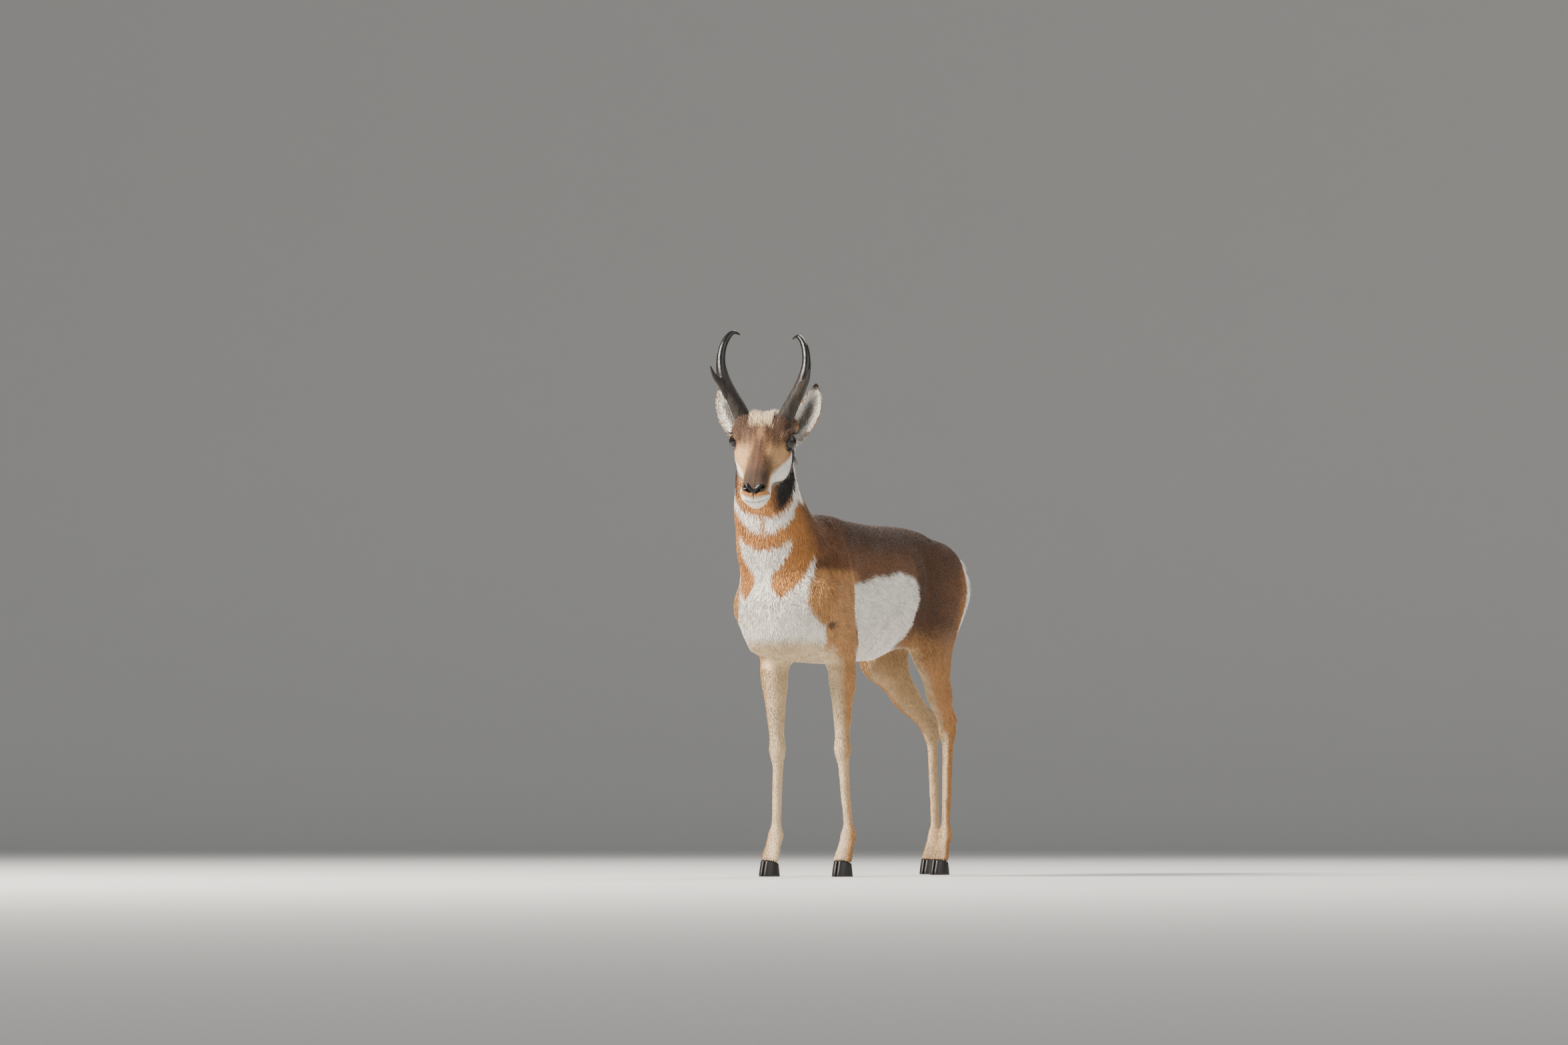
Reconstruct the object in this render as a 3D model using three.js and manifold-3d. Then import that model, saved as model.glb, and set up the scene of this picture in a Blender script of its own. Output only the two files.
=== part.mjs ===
// A pronghorn buck, life size, standing still with the head turned a little to its left.
// Millimetres, +Z up. The animal faces -Y and its left side is +X. The flesh is one smooth body, made
// from rounded masses that flow into each other, and it is parted by thin plane cuts into neck, torso,
// head and legs.

import * as THREE from "three";
import { mergeVertices } from "three/addons/utils/BufferGeometryUtils.js";
import Module from "manifold-3d";

const wasm = await Module();
wasm.setup();

// Driving dimensions of the animal
const WITHERS = 875; // height of the shoulders' top
const CHEST_FLOOR = 509; // height of the brisket between the forelegs
const RIB_HALF = 131; // half the width of the rib cage
const GAP = 0.3; // the thin cut between two nodes
const EYE_R = 20.5; // radius of an eyeball
const HOOF_LENGTH = 60;
const HOOF_HEIGHT = 36;

// The head's carriage: the midpoint between the eyes, and how the muzzle points down and to the left
const EYES_MIDDLE = new THREE.Vector3(19, -280, 1021);
const MUZZLE_DOWN = THREE.MathUtils.degToRad(39);
const HEAD_TURN = THREE.MathUtils.degToRad(18.5);
const HEAD_ROLL = THREE.MathUtils.degToRad(1.4);

// Where the body is cut: forelegs below the chest, hind legs below a plane that rises along the belly
const FORE_CUT_Z = 501;
const HIND_CUT = { y: 330, z: 514, slope: 0.27 };
const NECK_FOOT = { y: -108, z: 776, tilt: THREE.MathUtils.degToRad(38) };
const NECK_HEAD = { f: -90, u: -28, tilt: THREE.MathUtils.degToRad(30) };
const THROAT = { u: -103, tilt: THREE.MathUtils.degToRad(5) };

const UP = new THREE.Vector3(0, 0, 1);
const HEAD_AXES = new THREE.Matrix4()
  .makeRotationZ(HEAD_TURN)
  .multiply(new THREE.Matrix4().makeRotationX(MUZZLE_DOWN))
  .multiply(new THREE.Matrix4().makeRotationY(HEAD_ROLL));
const headAxis = (x, y, z) => new THREE.Vector3(x, y, z).transformDirection(HEAD_AXES);
const MUZZLE = headAxis(0, -1, 0);
const HEAD_LEFT = headAxis(1, 0, 0);
const BROW = headAxis(0, 0, 1);
const HEAD_AHEAD = headAxis(0, -Math.cos(MUZZLE_DOWN), Math.sin(MUZZLE_DOWN));
const HEAD_UP = headAxis(0, Math.sin(MUZZLE_DOWN), Math.cos(MUZZLE_DOWN));

// A place on the head, from between the eyes: f along the muzzle, l to the left, u towards the brow
function onHead(f, l, u) {
  return EYES_MIDDLE.clone()
    .addScaledVector(MUZZLE, f)
    .addScaledVector(HEAD_LEFT, l)
    .addScaledVector(BROW, u);
}

// A place near the head in its level directions: ahead, left and up, for what stands upright on it
function overHead(ahead, left, up) {
  return EYES_MIDDLE.clone()
    .addScaledVector(HEAD_AHEAD, ahead)
    .addScaledVector(HEAD_LEFT, left)
    .addScaledVector(HEAD_UP, up);
}

const at = (x, y, z) => new THREE.Vector3(x, y, z);
const mix = (a, b, t) => a + (b - a) * t;
const clamp01 = (t) => Math.min(1, Math.max(0, t));
const ease = (t) => t * t * (3 - 2 * t);

// A smooth curve of values through rows [place, value, value, ...], read at any place
function profileOf(rows) {
  return (s) => {
    const last = rows.length - 1;
    if (s <= rows[0][0]) return rows[0].slice(1);
    if (s >= rows[last][0]) return rows[last].slice(1);
    let i = 0;
    while (s > rows[i + 1][0]) i += 1;
    const [a, b] = [rows[i], rows[i + 1]];
    const [before, after] = [rows[Math.max(0, i - 1)], rows[Math.min(last, i + 2)]];
    const span = b[0] - a[0];
    const t = (s - a[0]) / span;
    return a.slice(1).map((from, j) => {
      const to = b[j + 1];
      const m0 = ((to - before[j + 1]) / (b[0] - before[0])) * span;
      const m1 = ((after[j + 1] - from) / (after[0] - a[0])) * span;
      const [t2, t3] = [t * t, t * t * t];
      const ends = (2 * t3 - 3 * t2 + 1) * from + (3 * t2 - 2 * t3) * to;
      return ends + (t3 - 2 * t2 + t) * m0 + (t3 - t2) * m1;
    });
  };
}

// Masses: each gives the distance from a point to its surface, negative inside, and how softly it flows on

// A limb between two points, with a radius at each end; flat scales its thickness along the side direction
function limb(a, b, ra, rb, { soft = 20, flat = 1, side = at(1, 0, 0) } = {}) {
  const along = b.clone().sub(a);
  const length2 = along.lengthSq();
  const distance = (p) => {
    const t = clamp01(((p.x - a.x) * along.x + (p.y - a.y) * along.y + (p.z - a.z) * along.z) / length2);
    const qx = p.x - a.x - t * along.x;
    const qy = p.y - a.y - t * along.y;
    const qz = p.z - a.z - t * along.z;
    const r = mix(ra, rb, t);
    const s = (qx * side.x + qy * side.y + qz * side.z) * (1 / flat - 1);
    const plain = Math.hypot(qx, qy, qz);
    const squashed = Math.hypot(qx + side.x * s, qy + side.y * s, qz + side.z * s);
    return squashed < 1e-6 ? -r : ((squashed - r) * plain) / squashed;
  };
  return { distance, soft };
}

// An ellipsoid with its radii along three directions, which are the part's own unless axes are given
function oval(centre, radii, { soft = 20, axes = null } = {}) {
  const [ex, ey, ez] = axes || [at(1, 0, 0), at(0, 1, 0), at(0, 0, 1)];
  const distance = (p) => {
    const [dx, dy, dz] = [p.x - centre.x, p.y - centre.y, p.z - centre.z];
    const u = (dx * ex.x + dy * ex.y + dz * ex.z) / radii[0];
    const v = (dx * ey.x + dy * ey.y + dz * ey.z) / radii[1];
    const w = (dx * ez.x + dy * ez.y + dz * ez.z) / radii[2];
    const k0 = Math.hypot(u, v, w);
    const k1 = Math.hypot(u / radii[0], v / radii[1], w / radii[2]);
    return k1 < 1e-9 ? -Math.min(...radii) : (k0 * (k0 - 1)) / k1;
  };
  return { distance, soft };
}

// A hull along a line: rows of [place, top, bottom, half width]; square over 2 makes its section boxier,
// and lean over 0 makes it wider towards the top
function hull(rows, place, { soft = 20, square = 2.2, lean = 0 } = {}) {
  const sizes = profileOf(rows);
  const [first, last] = [rows[0][0], rows[rows.length - 1][0]];
  const distance = (p) => {
    const [s, x, z] = place(p);
    const [top, bottom, half] = sizes(s);
    const tall = Math.max(1, (top - bottom) / 2);
    const dz = z - (top + bottom) / 2;
    const wide = Math.max(1, half * (1 + lean * Math.max(-1, Math.min(1, dz / tall))));
    const reach = (Math.abs(x / wide) ** square + Math.abs(dz / tall) ** square) ** (1 / square);
    const plain = Math.hypot(x, dz);
    const across = reach < 1e-6 ? -Math.min(wide, tall) : ((reach - 1) * plain) / reach;
    const past = Math.max(first - s, s - last, 0);
    return past > 0 ? Math.hypot(Math.max(across, 0), past) : across;
  };
  return { distance, soft };
}

// All masses as one, each flowing into those before it over its own softness
function joined(masses) {
  return (p) => {
    let d = 1e6;
    for (const mass of masses) {
      const other = mass.distance(p);
      const h = Math.max(mass.soft - Math.abs(d - other), 0) / mass.soft;
      d = Math.min(d, other) - h * h * mass.soft * 0.25;
    }
    return d;
  };
}

// Body

const BARREL = [
  [-212, 668, 600, 44],
  [-190, 735, 556, 78],
  [-150, 800, 527, 99],
  [-90, 846, 511, 106],
  [-20, 870, CHEST_FLOOR, 108],
  [40, WITHERS, 508, 110],
  [110, 870, 510, 117],
  [190, 865, 514, RIB_HALF - 4],
  [270, 862, 523, RIB_HALF],
  [340, 863, 536, RIB_HALF - 3],
  [410, 864, 552, 120],
  [480, 858, 570, 112],
  [550, 835, 588, 104],
  [605, 795, 606, 92],
  [648, 750, 634, 68],
  [672, 714, 668, 34],
];

function torsoMasses() {
  const masses = [hull(BARREL, (p) => [p.y, p.x, p.z], { square: 2.15, lean: -0.04 })];
  for (const s of [-1, 1]) {
    masses.push(
      limb(at(s * 44, 44, 815), at(s * 84, -118, 652), 38, 46, { soft: 45 }),
      limb(at(s * 86, -128, 640), at(s * 84, -10, 570), 46, 42, { soft: 40 }),
      oval(at(s * 82, -30, 655), [38, 74, 98], { soft: 45 }),
      limb(at(s * 36, -178, 655), at(s * 66, -115, 565), 44, 42, { soft: 40 }),
      limb(at(s * 46, 458, 806), at(s * 66, 544, 732), 38, 54, { soft: 40 }),
      oval(at(s * 60, 606, 722), [48, 60, 80], { soft: 40 }),
    );
  }
  masses.push(oval(at(0, 630, 752), [42, 38, 50], { soft: 30 }));
  masses.push(limb(at(0, 290, 533), at(0, 368, 542), 17, 13, { soft: 24 }));
  return masses;
}

const NECK_LINE = [
  [at(-6, -86, 702), 124, 104],
  [at(-19, -128, 792), 108, 95],
  [at(-27, -164, 884), 86, 74],
  [at(-25, -184, 968), 68, 66],
  [at(-4, -198, 1036), 60, 60],
];

function neckMasses() {
  return NECK_LINE.slice(1).map(([b, deepB, wideB], i) => {
    const [a, deepA, wideA] = NECK_LINE[i];
    return limb(a, b, deepA, deepB, { soft: 34, flat: (wideA + wideB) / (deepA + deepB) });
  });
}

const SKULL = [
  [-112, 2, -28, 18],
  [-92, 15, -58, 42],
  [-62, 35, -76, 54],
  [-30, 50, -88, 60],
  [0, 52, -91, 60],
  [30, 44, -86, 55],
  [60, 35, -77, 46],
  [90, 28, -69, 38],
  [120, 22, -65, 34],
  [148, 19, -65, 32],
  [170, 14, -60, 29],
  [184, 6, -49, 23],
  [192, -8, -32, 10],
];

function headMasses() {
  const axes = [MUZZLE, HEAD_LEFT, BROW];
  const local = (p) => {
    const d = p.clone().sub(EYES_MIDDLE);
    return [d.dot(MUZZLE), d.dot(HEAD_LEFT), d.dot(BROW)];
  };
  const masses = [hull(SKULL, local, { square: 2.3, lean: 0.08, soft: 24 })];
  for (const s of [-1, 1]) {
    masses.push(
      oval(onHead(-6, s * 53, 10), [34, 18, 28], { axes, soft: 14 }),
      oval(onHead(10, s * 42, -46), [50, 22, 40], { axes, soft: 20 }),
      limb(onHead(32, s * 50, -12), onHead(92, s * 32, -18), 15, 11, { soft: 16 }),
      oval(onHead(172, s * 15, 1), [18, 13, 13], { axes, soft: 8 }),
      oval(onHead(158, s * 17, -30), [27, 19, 14], { axes, soft: 9 }),
      limb(onHead(-34, s * 38, 28), onHead(-28, s * 46, 40), 26, 24, { soft: 16 }),
      limb(onHead(-56, s * 44, -2), onHead(-66, s * 58, 8), 26, 21, { soft: 16 }),
    );
  }
  masses.push(oval(onHead(152, 0, -54), [27, 24, 14], { axes, soft: 8 }));
  return masses;
}

// Legs, by their joints, each as it stands in this pose
const LEGS = {
  foreleg_left: {
    side: 1,
    elbow: at(92, -12, 560),
    knee: at(88, 0, 302),
    fetlock: at(97, 14, 97),
  },
  foreleg_right: {
    side: -1,
    elbow: at(-92, -12, 560),
    knee: at(-87, 0, 302),
    fetlock: at(-94, 4, 97),
  },
  hindleg_left: {
    side: 1,
    hip: at(76, 542, 734),
    stifle: at(104, 440, 548),
    hock: at(55, 648, 362),
    fetlock: at(57, 630, 97),
  },
  hindleg_right: {
    side: -1,
    hip: at(-76, 556, 734),
    stifle: at(-104, 566, 538),
    hock: at(-50, 772, 362),
    fetlock: at(-52, 798, 97),
  },
};

function footMasses(fetlock) {
  const masses = [oval(fetlock, [19, 21, 21], { soft: 14 })];
  for (const toe of [-1, 1]) {
    const coronet = fetlock.clone().add(at(toe * 12, -34, -62));
    masses.push(limb(fetlock.clone().add(at(toe * 6, -2, -4)), coronet, 14, 14.5, { soft: 6 }));
  }
  return masses;
}

function forelegMasses({ elbow, knee, fetlock, side }) {
  const below = at(0, 0, -1);
  return [
    limb(elbow, knee, 43, 18, { soft: 28, flat: 0.86 }),
    oval(elbow.clone().add(at(0, 2, -62)), [27, 33, 64], { soft: 24 }),
    limb(elbow.clone().add(at(-side * 4, 40, -4)), elbow.clone().add(at(0, 14, -120)), 20, 14, { soft: 22 }),
    oval(knee, [19.5, 20, 30], { soft: 16 }),
    limb(knee.clone().addScaledVector(below, 22), fetlock, 14.5, 13, { soft: 12, flat: 0.92 }),
    limb(knee.clone().add(at(0, 12, -26)), fetlock.clone().add(at(0, 9, 8)), 10, 9, { soft: 9 }),
    ...footMasses(fetlock),
  ];
}

function hindlegMasses({ hip, stifle, hock, fetlock, side }) {
  const calcaneus = hock.clone().add(at(0, 34, 22));
  const shin = hock.clone().sub(stifle);
  const calf = stifle.clone().addScaledVector(shin, 0.18).add(at(-side * 6, 36, 6));
  const buttock = at(side * 72, 632, 700);
  return [
    limb(hip, stifle, 92, 52, { soft: 45, flat: 0.66 }),
    limb(buttock, calf, 64, 40, { soft: 42, flat: 0.74 }),
    limb(stifle, stifle.clone().addScaledVector(shin, 0.55), 46, 33, { soft: 30, flat: 0.76 }),
    limb(calf, stifle.clone().addScaledVector(shin, 0.6).add(at(0, 14, 8)), 42, 22, { soft: 26, flat: 0.72 }),
    limb(stifle.clone().addScaledVector(shin, 0.5), hock, 32, 21, { soft: 22, flat: 0.82 }),
    limb(stifle.clone().addScaledVector(shin, 0.5).add(at(0, 30, 16)), calcaneus, 12, 12.5, { soft: 16 }),
    oval(hock.clone().add(at(0, 4, -4)), [20, 25, 33], { soft: 16 }),
    limb(hock, fetlock, 15.5, 13.5, { soft: 14, flat: 0.88 }),
    limb(hock.clone().add(at(0, 16, -20)), fetlock.clone().add(at(0, 9, 8)), 11, 9.5, { soft: 9 }),
    ...footMasses(fetlock),
  ];
}

const flesh = joined([
  ...torsoMasses(),
  ...neckMasses(),
  ...headMasses(),
  ...forelegMasses(LEGS.foreleg_left),
  ...forelegMasses(LEGS.foreleg_right),
  ...hindlegMasses(LEGS.hindleg_left),
  ...hindlegMasses(LEGS.hindleg_right),
]);

// Turning a distance function into a closed mesh: one vertex in each cell that the surface crosses

// Grid lines from a to b about step apart
function gridLines(a, b, step) {
  const n = Math.max(2, Math.ceil((b - a) / step));
  return Array.from({ length: n + 1 }, (_, i) => mix(a, b, i / n));
}

// Grid lines whose spacing is given by rows of [from, to, step]
function gradedLines(rows) {
  return rows.flatMap(([from, to, step], i) => gridLines(from, to, step).slice(i ? 1 : 0));
}

function surfaceOf(distance, lines, toWorld = (x, y, z) => at(x, y, z)) {
  const [xs, ys, zs] = lines;
  const [nx, ny, nz] = lines.map((line) => line.length);
  const index = (i, j, k) => (k * ny + j) * nx + i;
  const values = new Float32Array(nx * ny * nz);
  eachNode([nx, ny, nz], (i, j, k) => {
    const rim = i === 0 || j === 0 || k === 0 || i === nx - 1 || j === ny - 1 || k === nz - 1;
    const d = distance(toWorld(xs[i], ys[j], zs[k]));
    values[index(i, j, k)] = rim ? Math.max(d, 1) : d;
  });
  partDiagonals(values, [nx, ny, nz], index);
  const cellVertex = new Int32Array(nx * ny * nz).fill(-1);
  const points = [];
  eachNode([nx - 1, ny - 1, nz - 1], (i, j, k) => {
    const sum = [0, 0, 0];
    let found = 0;
    for (const [a, b] of CELL_EDGES) {
      const va = values[index(i + a[0], j + a[1], k + a[2])];
      const vb = values[index(i + b[0], j + b[1], k + b[2])];
      if (va < 0 === vb < 0) continue;
      const t = va / (va - vb);
      sum[0] += mix(xs[i + a[0]], xs[i + b[0]], t);
      sum[1] += mix(ys[j + a[1]], ys[j + b[1]], t);
      sum[2] += mix(zs[k + a[2]], zs[k + b[2]], t);
      found += 1;
    }
    if (!found) return;
    cellVertex[index(i, j, k)] = points.length;
    points.push(settled(distance, toWorld(sum[0] / found, sum[1] / found, sum[2] / found)));
  });
  const triangles = [];
  const quad = (cells, flip) => {
    const [a, b, c, d] = cells.map(([i, j, k]) => cellVertex[index(i, j, k)]);
    const [p, q, r, s] = flip ? [a, d, c, b] : [a, b, c, d];
    const shorter = points[p].distanceToSquared(points[r]) <= points[q].distanceToSquared(points[s]);
    triangles.push(...(shorter ? [p, q, r, p, r, s] : [q, r, s, q, s, p]));
  };
  eachNode([nx - 1, ny - 1, nz - 1], (i, j, k) => {
    const inside = values[index(i, j, k)] < 0;
    if (j && k && inside !== values[index(i + 1, j, k)] < 0)
      quad([[i, j - 1, k - 1], [i, j, k - 1], [i, j, k], [i, j - 1, k]], !inside);
    if (i && k && inside !== values[index(i, j + 1, k)] < 0)
      quad([[i - 1, j, k - 1], [i - 1, j, k], [i, j, k], [i, j, k - 1]], !inside);
    if (i && j && inside !== values[index(i, j, k + 1)] < 0)
      quad([[i - 1, j - 1, k], [i, j - 1, k], [i, j, k], [i - 1, j, k]], !inside);
  });
  return solidFrom(new Float32Array(points.flatMap((p) => [p.x, p.y, p.z])), new Uint32Array(triangles));
}

const CELL_CORNERS = [0, 1, 2, 3, 4, 5, 6, 7].map((c) => [c & 1, (c >> 1) & 1, (c >> 2) & 1]);
const CELL_EDGES = CELL_CORNERS.flatMap((a, i) =>
  CELL_CORNERS.slice(i + 1)
    .filter((b) => Math.abs(a[0] - b[0]) + Math.abs(a[1] - b[1]) + Math.abs(a[2] - b[2]) === 1)
    .map((b) => [a, b]),
);

function eachNode([nx, ny, nz], visit) {
  for (let k = 0; k < nz; k += 1) {
    for (let j = 0; j < ny; j += 1) {
      for (let i = 0; i < nx; i += 1) visit(i, j, k);
    }
  }
}

// Where a cell's side has only two opposite corners inside, the nearer outside corner is filled
function partDiagonals(values, counts, index) {
  const sides = [
    [[1, 0, 0], [0, 1, 0]],
    [[0, 1, 0], [0, 0, 1]],
    [[1, 0, 0], [0, 0, 1]],
  ];
  let changed = true;
  while (changed) {
    changed = false;
    eachNode(counts.map((n) => n - 1), (i, j, k) => {
      for (const [a, b] of sides) {
        const corner = (m, n) => {
          return index(i + m * a[0] + n * b[0], j + m * a[1] + n * b[1], k + m * a[2] + n * b[2]);
        };
        const ring = [corner(0, 0), corner(1, 0), corner(1, 1), corner(0, 1)];
        const filled = ring.map((c) => values[c] < 0);
        if (filled[0] !== filled[2] || filled[1] !== filled[3] || filled[0] === filled[1]) continue;
        const open = filled[0] ? [ring[1], ring[3]] : [ring[0], ring[2]];
        values[values[open[0]] < values[open[1]] ? open[0] : open[1]] = -0.01;
        changed = true;
      }
    });
  }
}

// A point moved onto the surface along the way of steepest change
function settled(distance, p) {
  const step = 1.5;
  for (let turn = 0; turn < 2; turn += 1) {
    const d = distance(p);
    const slope = at(
      distance(at(p.x + step, p.y, p.z)) - distance(at(p.x - step, p.y, p.z)),
      distance(at(p.x, p.y + step, p.z)) - distance(at(p.x, p.y - step, p.z)),
      distance(at(p.x, p.y, p.z + step)) - distance(at(p.x, p.y, p.z - step)),
    ).divideScalar(2 * step);
    const steep = Math.max(slope.lengthSq(), 0.25);
    p.addScaledVector(slope, -Math.max(-6, Math.min(6, d)) / steep);
  }
  return p;
}

// Solids

function solidFrom(vertProperties, triVerts) {
  return new wasm.Manifold(new wasm.Mesh({ numProp: 3, vertProperties, triVerts }));
}

function solidOf(geometry) {
  const bare = geometry.index ? geometry.toNonIndexed() : geometry.clone();
  bare.deleteAttribute("normal");
  bare.deleteAttribute("uv");
  const merged = mergeVertices(bare, 1e-3);
  return solidFrom(merged.attributes.position.array, new Uint32Array(merged.index.array));
}

// A closed skin over rings of equal length, each a list of points, from the first ring to the last
function loft(rings) {
  const n = rings[0].length;
  const points = rings.flat();
  const centreOf = (ring) => ring.reduce((sum, p) => sum.add(p), at(0, 0, 0)).divideScalar(n);
  points.push(centreOf(rings[0]), centreOf(rings[rings.length - 1]));
  const triangles = [];
  for (let i = 0; i + 1 < rings.length; i += 1)
    for (let j = 0; j < n; j += 1) {
      const [a, b] = [i * n + j, i * n + ((j + 1) % n)];
      triangles.push(a, b, b + n, a, b + n, a + n);
    }
  const lastRing = (rings.length - 1) * n;
  for (let j = 0; j < n; j += 1) {
    triangles.push(points.length - 2, (j + 1) % n, j);
    triangles.push(points.length - 1, lastRing + j, lastRing + ((j + 1) % n));
  }
  return facingOut(points, triangles);
}

// A tube along a smooth path: sizes(t) gives [half width along the side direction, half depth across it]
function horned(path, sizes, side, { rings = 20, around = 12, grow = 0 } = {}) {
  const curve = new THREE.CatmullRomCurve3(path, false, "centripetal");
  return loft(
    Array.from({ length: rings + 1 }, (_, i) => {
      const t = i / rings;
      const tangent = curve.getTangentAt(t);
      const across = side.clone().addScaledVector(tangent, -side.dot(tangent)).normalize();
      const deep = tangent.clone().cross(across).normalize();
      const [wide, thick] = sizes(t).map((size) => size + grow);
      const spine = curve.getPointAt(t).addScaledVector(tangent, endShift(i, rings, grow));
      return Array.from({ length: around }, (_, j) => {
        const turn = (2 * Math.PI * j) / around;
        return spine
          .clone()
          .addScaledVector(across, wide * Math.cos(turn))
          .addScaledVector(deep, thick * Math.sin(turn));
      });
    }),
  );
}

// How far a grown loft's first ring moves back and its last ring on
const endShift = (ring, last, grow) => (ring === 0 ? -grow : ring === last ? grow : 0);

// The side of a plane that its normal points to, as a large block
function beyond(point, normal) {
  const size = 3000;
  const block = new THREE.BoxGeometry(size, size, size);
  block.translate(0, 0, size / 2);
  block.applyQuaternion(new THREE.Quaternion().setFromUnitVectors(UP, normal.clone().normalize()));
  block.translate(point.x, point.y, point.z);
  return solidOf(block);
}

// The largest closed surface of a solid
function whole(solid) {
  return solid.decompose().reduce((best, piece) => (piece.volume() > best.volume() ? piece : best));
}

// Part of the flesh, kept where every cut [point, normal] has its normal's side
function fleshPart(lines, cuts, toWorld) {
  return whole(surfaceOf(flesh, lines, toWorld).intersect(spaceBeyond(cuts, GAP / 2)));
}

// The space on the normals' side of all the cuts, drawn in by a distance
function spaceBeyond(cuts, inset) {
  return cuts
    .map(([point, normal]) => beyond(point.clone().addScaledVector(normal, inset), normal))
    .reduce((space, block) => space.intersect(block));
}

// The cuts, each as a point on the plane and the normal towards the part farther from the torso
const foreCut = [at(0, 0, FORE_CUT_Z), at(0, 0, -1)];
const hindCut = [at(0, HIND_CUT.y, HIND_CUT.z), at(0, HIND_CUT.slope, -1).normalize()];
const neckFoot = [
  at(0, NECK_FOOT.y, NECK_FOOT.z),
  at(0, -Math.sin(NECK_FOOT.tilt), Math.cos(NECK_FOOT.tilt)),
];
const headCut = [
  onHead(NECK_HEAD.f, 0, NECK_HEAD.u),
  MUZZLE.clone().multiplyScalar(Math.cos(NECK_HEAD.tilt)).addScaledVector(BROW, Math.sin(NECK_HEAD.tilt)),
];
const throatCut = [
  onHead(0, 0, THROAT.u),
  BROW.clone().multiplyScalar(Math.cos(THROAT.tilt)).addScaledVector(MUZZLE, -Math.sin(THROAT.tilt)),
];
const turned = ([point, normal]) => [point, normal.clone().negate()];

function torso() {
  const lines = [gridLines(-190, 190, 32), gridLines(-290, 760, 39), gridLines(440, 925, 35)];
  return fleshPart(lines, [turned(foreCut), turned(hindCut), turned(neckFoot)]);
}

function neck() {
  const lines = [gridLines(-150, 150, 22), gridLines(-330, 70, 24), gridLines(640, 1130, 25)];
  const bare = fleshPart(lines, [neckFoot]).subtract(spaceBeyond([headCut, throatCut], -GAP / 2));
  return whole(maneLocks().reduce((solid, lock) => solid.add(lock), whole(bare)));
}

// Numbers between 0 and 1 that look random but are always the same
function seeded(seed) {
  let state = seed;
  return () => {
    state = (state * 1103515245 + 12345) % 2147483648;
    return state / 2147483648;
  };
}

// The mane: short flat tapered locks in rows down the nape, each lying back over the next
const MANE = { rows: 7, high: 1052, low: 922, length: 84, width: 27, thick: 9 };

function maneLocks() {
  const random = seeded(7);
  const crest = new THREE.CatmullRomCurve3(NECK_LINE.map(([point]) => point));
  const locks = [];
  for (let row = 0; row < MANE.rows; row += 1)
    for (const column of row % 2 ? [-0.6, 0.6] : [0]) {
      const z = mix(MANE.high, MANE.low, (row + 0.3 * random()) / (MANE.rows - 1));
      const middle = crest.getPoint(heightShare(z));
      const out = at(Math.sin(0.34 * column), Math.cos(0.34 * column), 0.25).normalize();
      const root = skinPoint(middle, out);
      const lie = at(0.25 * column, 0.28, -1).normalize();
      locks.push(maneLock(root, lie, out, MANE.length * (0.85 + 0.3 * random()), random));
    }
  return locks;
}

// The share of the neck's line at which it reaches a height
function heightShare(z) {
  const heights = NECK_LINE.map(([point]) => point.z);
  let i = 0;
  while (i < heights.length - 2 && z > heights[i + 1]) i += 1;
  return (i + clamp01((z - heights[i]) / (heights[i + 1] - heights[i]))) / (heights.length - 1);
}

function maneLock(root, lie, out, length, random) {
  const side = lie.clone().cross(out).normalize();
  const sway = (random() - 0.5) * 8;
  const rings = [0, 0.3, 0.65, 1].map((t) => {
    const lift = mix(-8, 7, clamp01(t / 0.35)) + 5 * t;
    const spine = root
      .clone()
      .addScaledVector(lie, length * t)
      .addScaledVector(out, lift)
      .addScaledVector(side, sway * t * t);
    const wide = (MANE.width / 2) * (t < 1 ? 1 - 0.45 * t : 0.14);
    const thick = (MANE.thick / 2) * (t < 1 ? 1.2 - 0.5 * t : 0.3);
    return [1, -1].flatMap((s) => [
      spine.clone().addScaledVector(side, s * wide),
      spine.clone().addScaledVector(out, s * thick).addScaledVector(side, s * wide * 0.2),
    ]);
  });
  return loft(rings);
}

function leg(name) {
  const { stifle, hock, fetlock, side } = LEGS[name];
  const fore = name.startsWith("fore");
  const across = fore ? 13 : 16.5;
  const xs = side > 0 ? gridLines(4, 172, across) : gridLines(-172, -4, across);
  const ys = fore
    ? gridLines(-92, 92, 12.5)
    : gridLines(Math.min(stifle.y, fetlock.y) - 100, Math.max(hock.y, fetlock.y) + 75, 17.5);
  const zs = gradedLines([
    [8, 130, 13],
    [130, 280, 32],
    [280, 400, 18],
    [400, fore ? 560 : 660, 28],
  ]);
  return fleshPart([xs, ys, zs], [fore ? foreCut : hindCut]);
}

function bareHead() {
  const lines = [
    gradedLines([
      [-150, -40, 16],
      [-40, 20, 11.2],
      [20, 120, 15],
      [120, 205, 8.6],
    ]),
    gridLines(-104, 104, 11.6),
    gridLines(-142, 110, 12.4),
  ];
  return fleshPart(lines, [headCut, throatCut], onHead);
}

// A direction on the head, as shares along the muzzle, to the left and towards the brow
function headWay(f, l, u) {
  return MUZZLE.clone()
    .multiplyScalar(f)
    .addScaledVector(HEAD_LEFT, l)
    .addScaledVector(BROW, u)
    .normalize();
}

// Eyes and lids

const eyeCentre = (s) => onHead(-2, s * 59, 8);
const eyeOut = (s) => headWay(0.3, s, 0.12);

function eyeball(s, grow = 0) {
  const ball = new THREE.SphereGeometry(EYE_R + grow, 16, 10);
  const centre = eyeCentre(s);
  return solidOf(ball.translate(centre.x, centre.y, centre.z));
}

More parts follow.
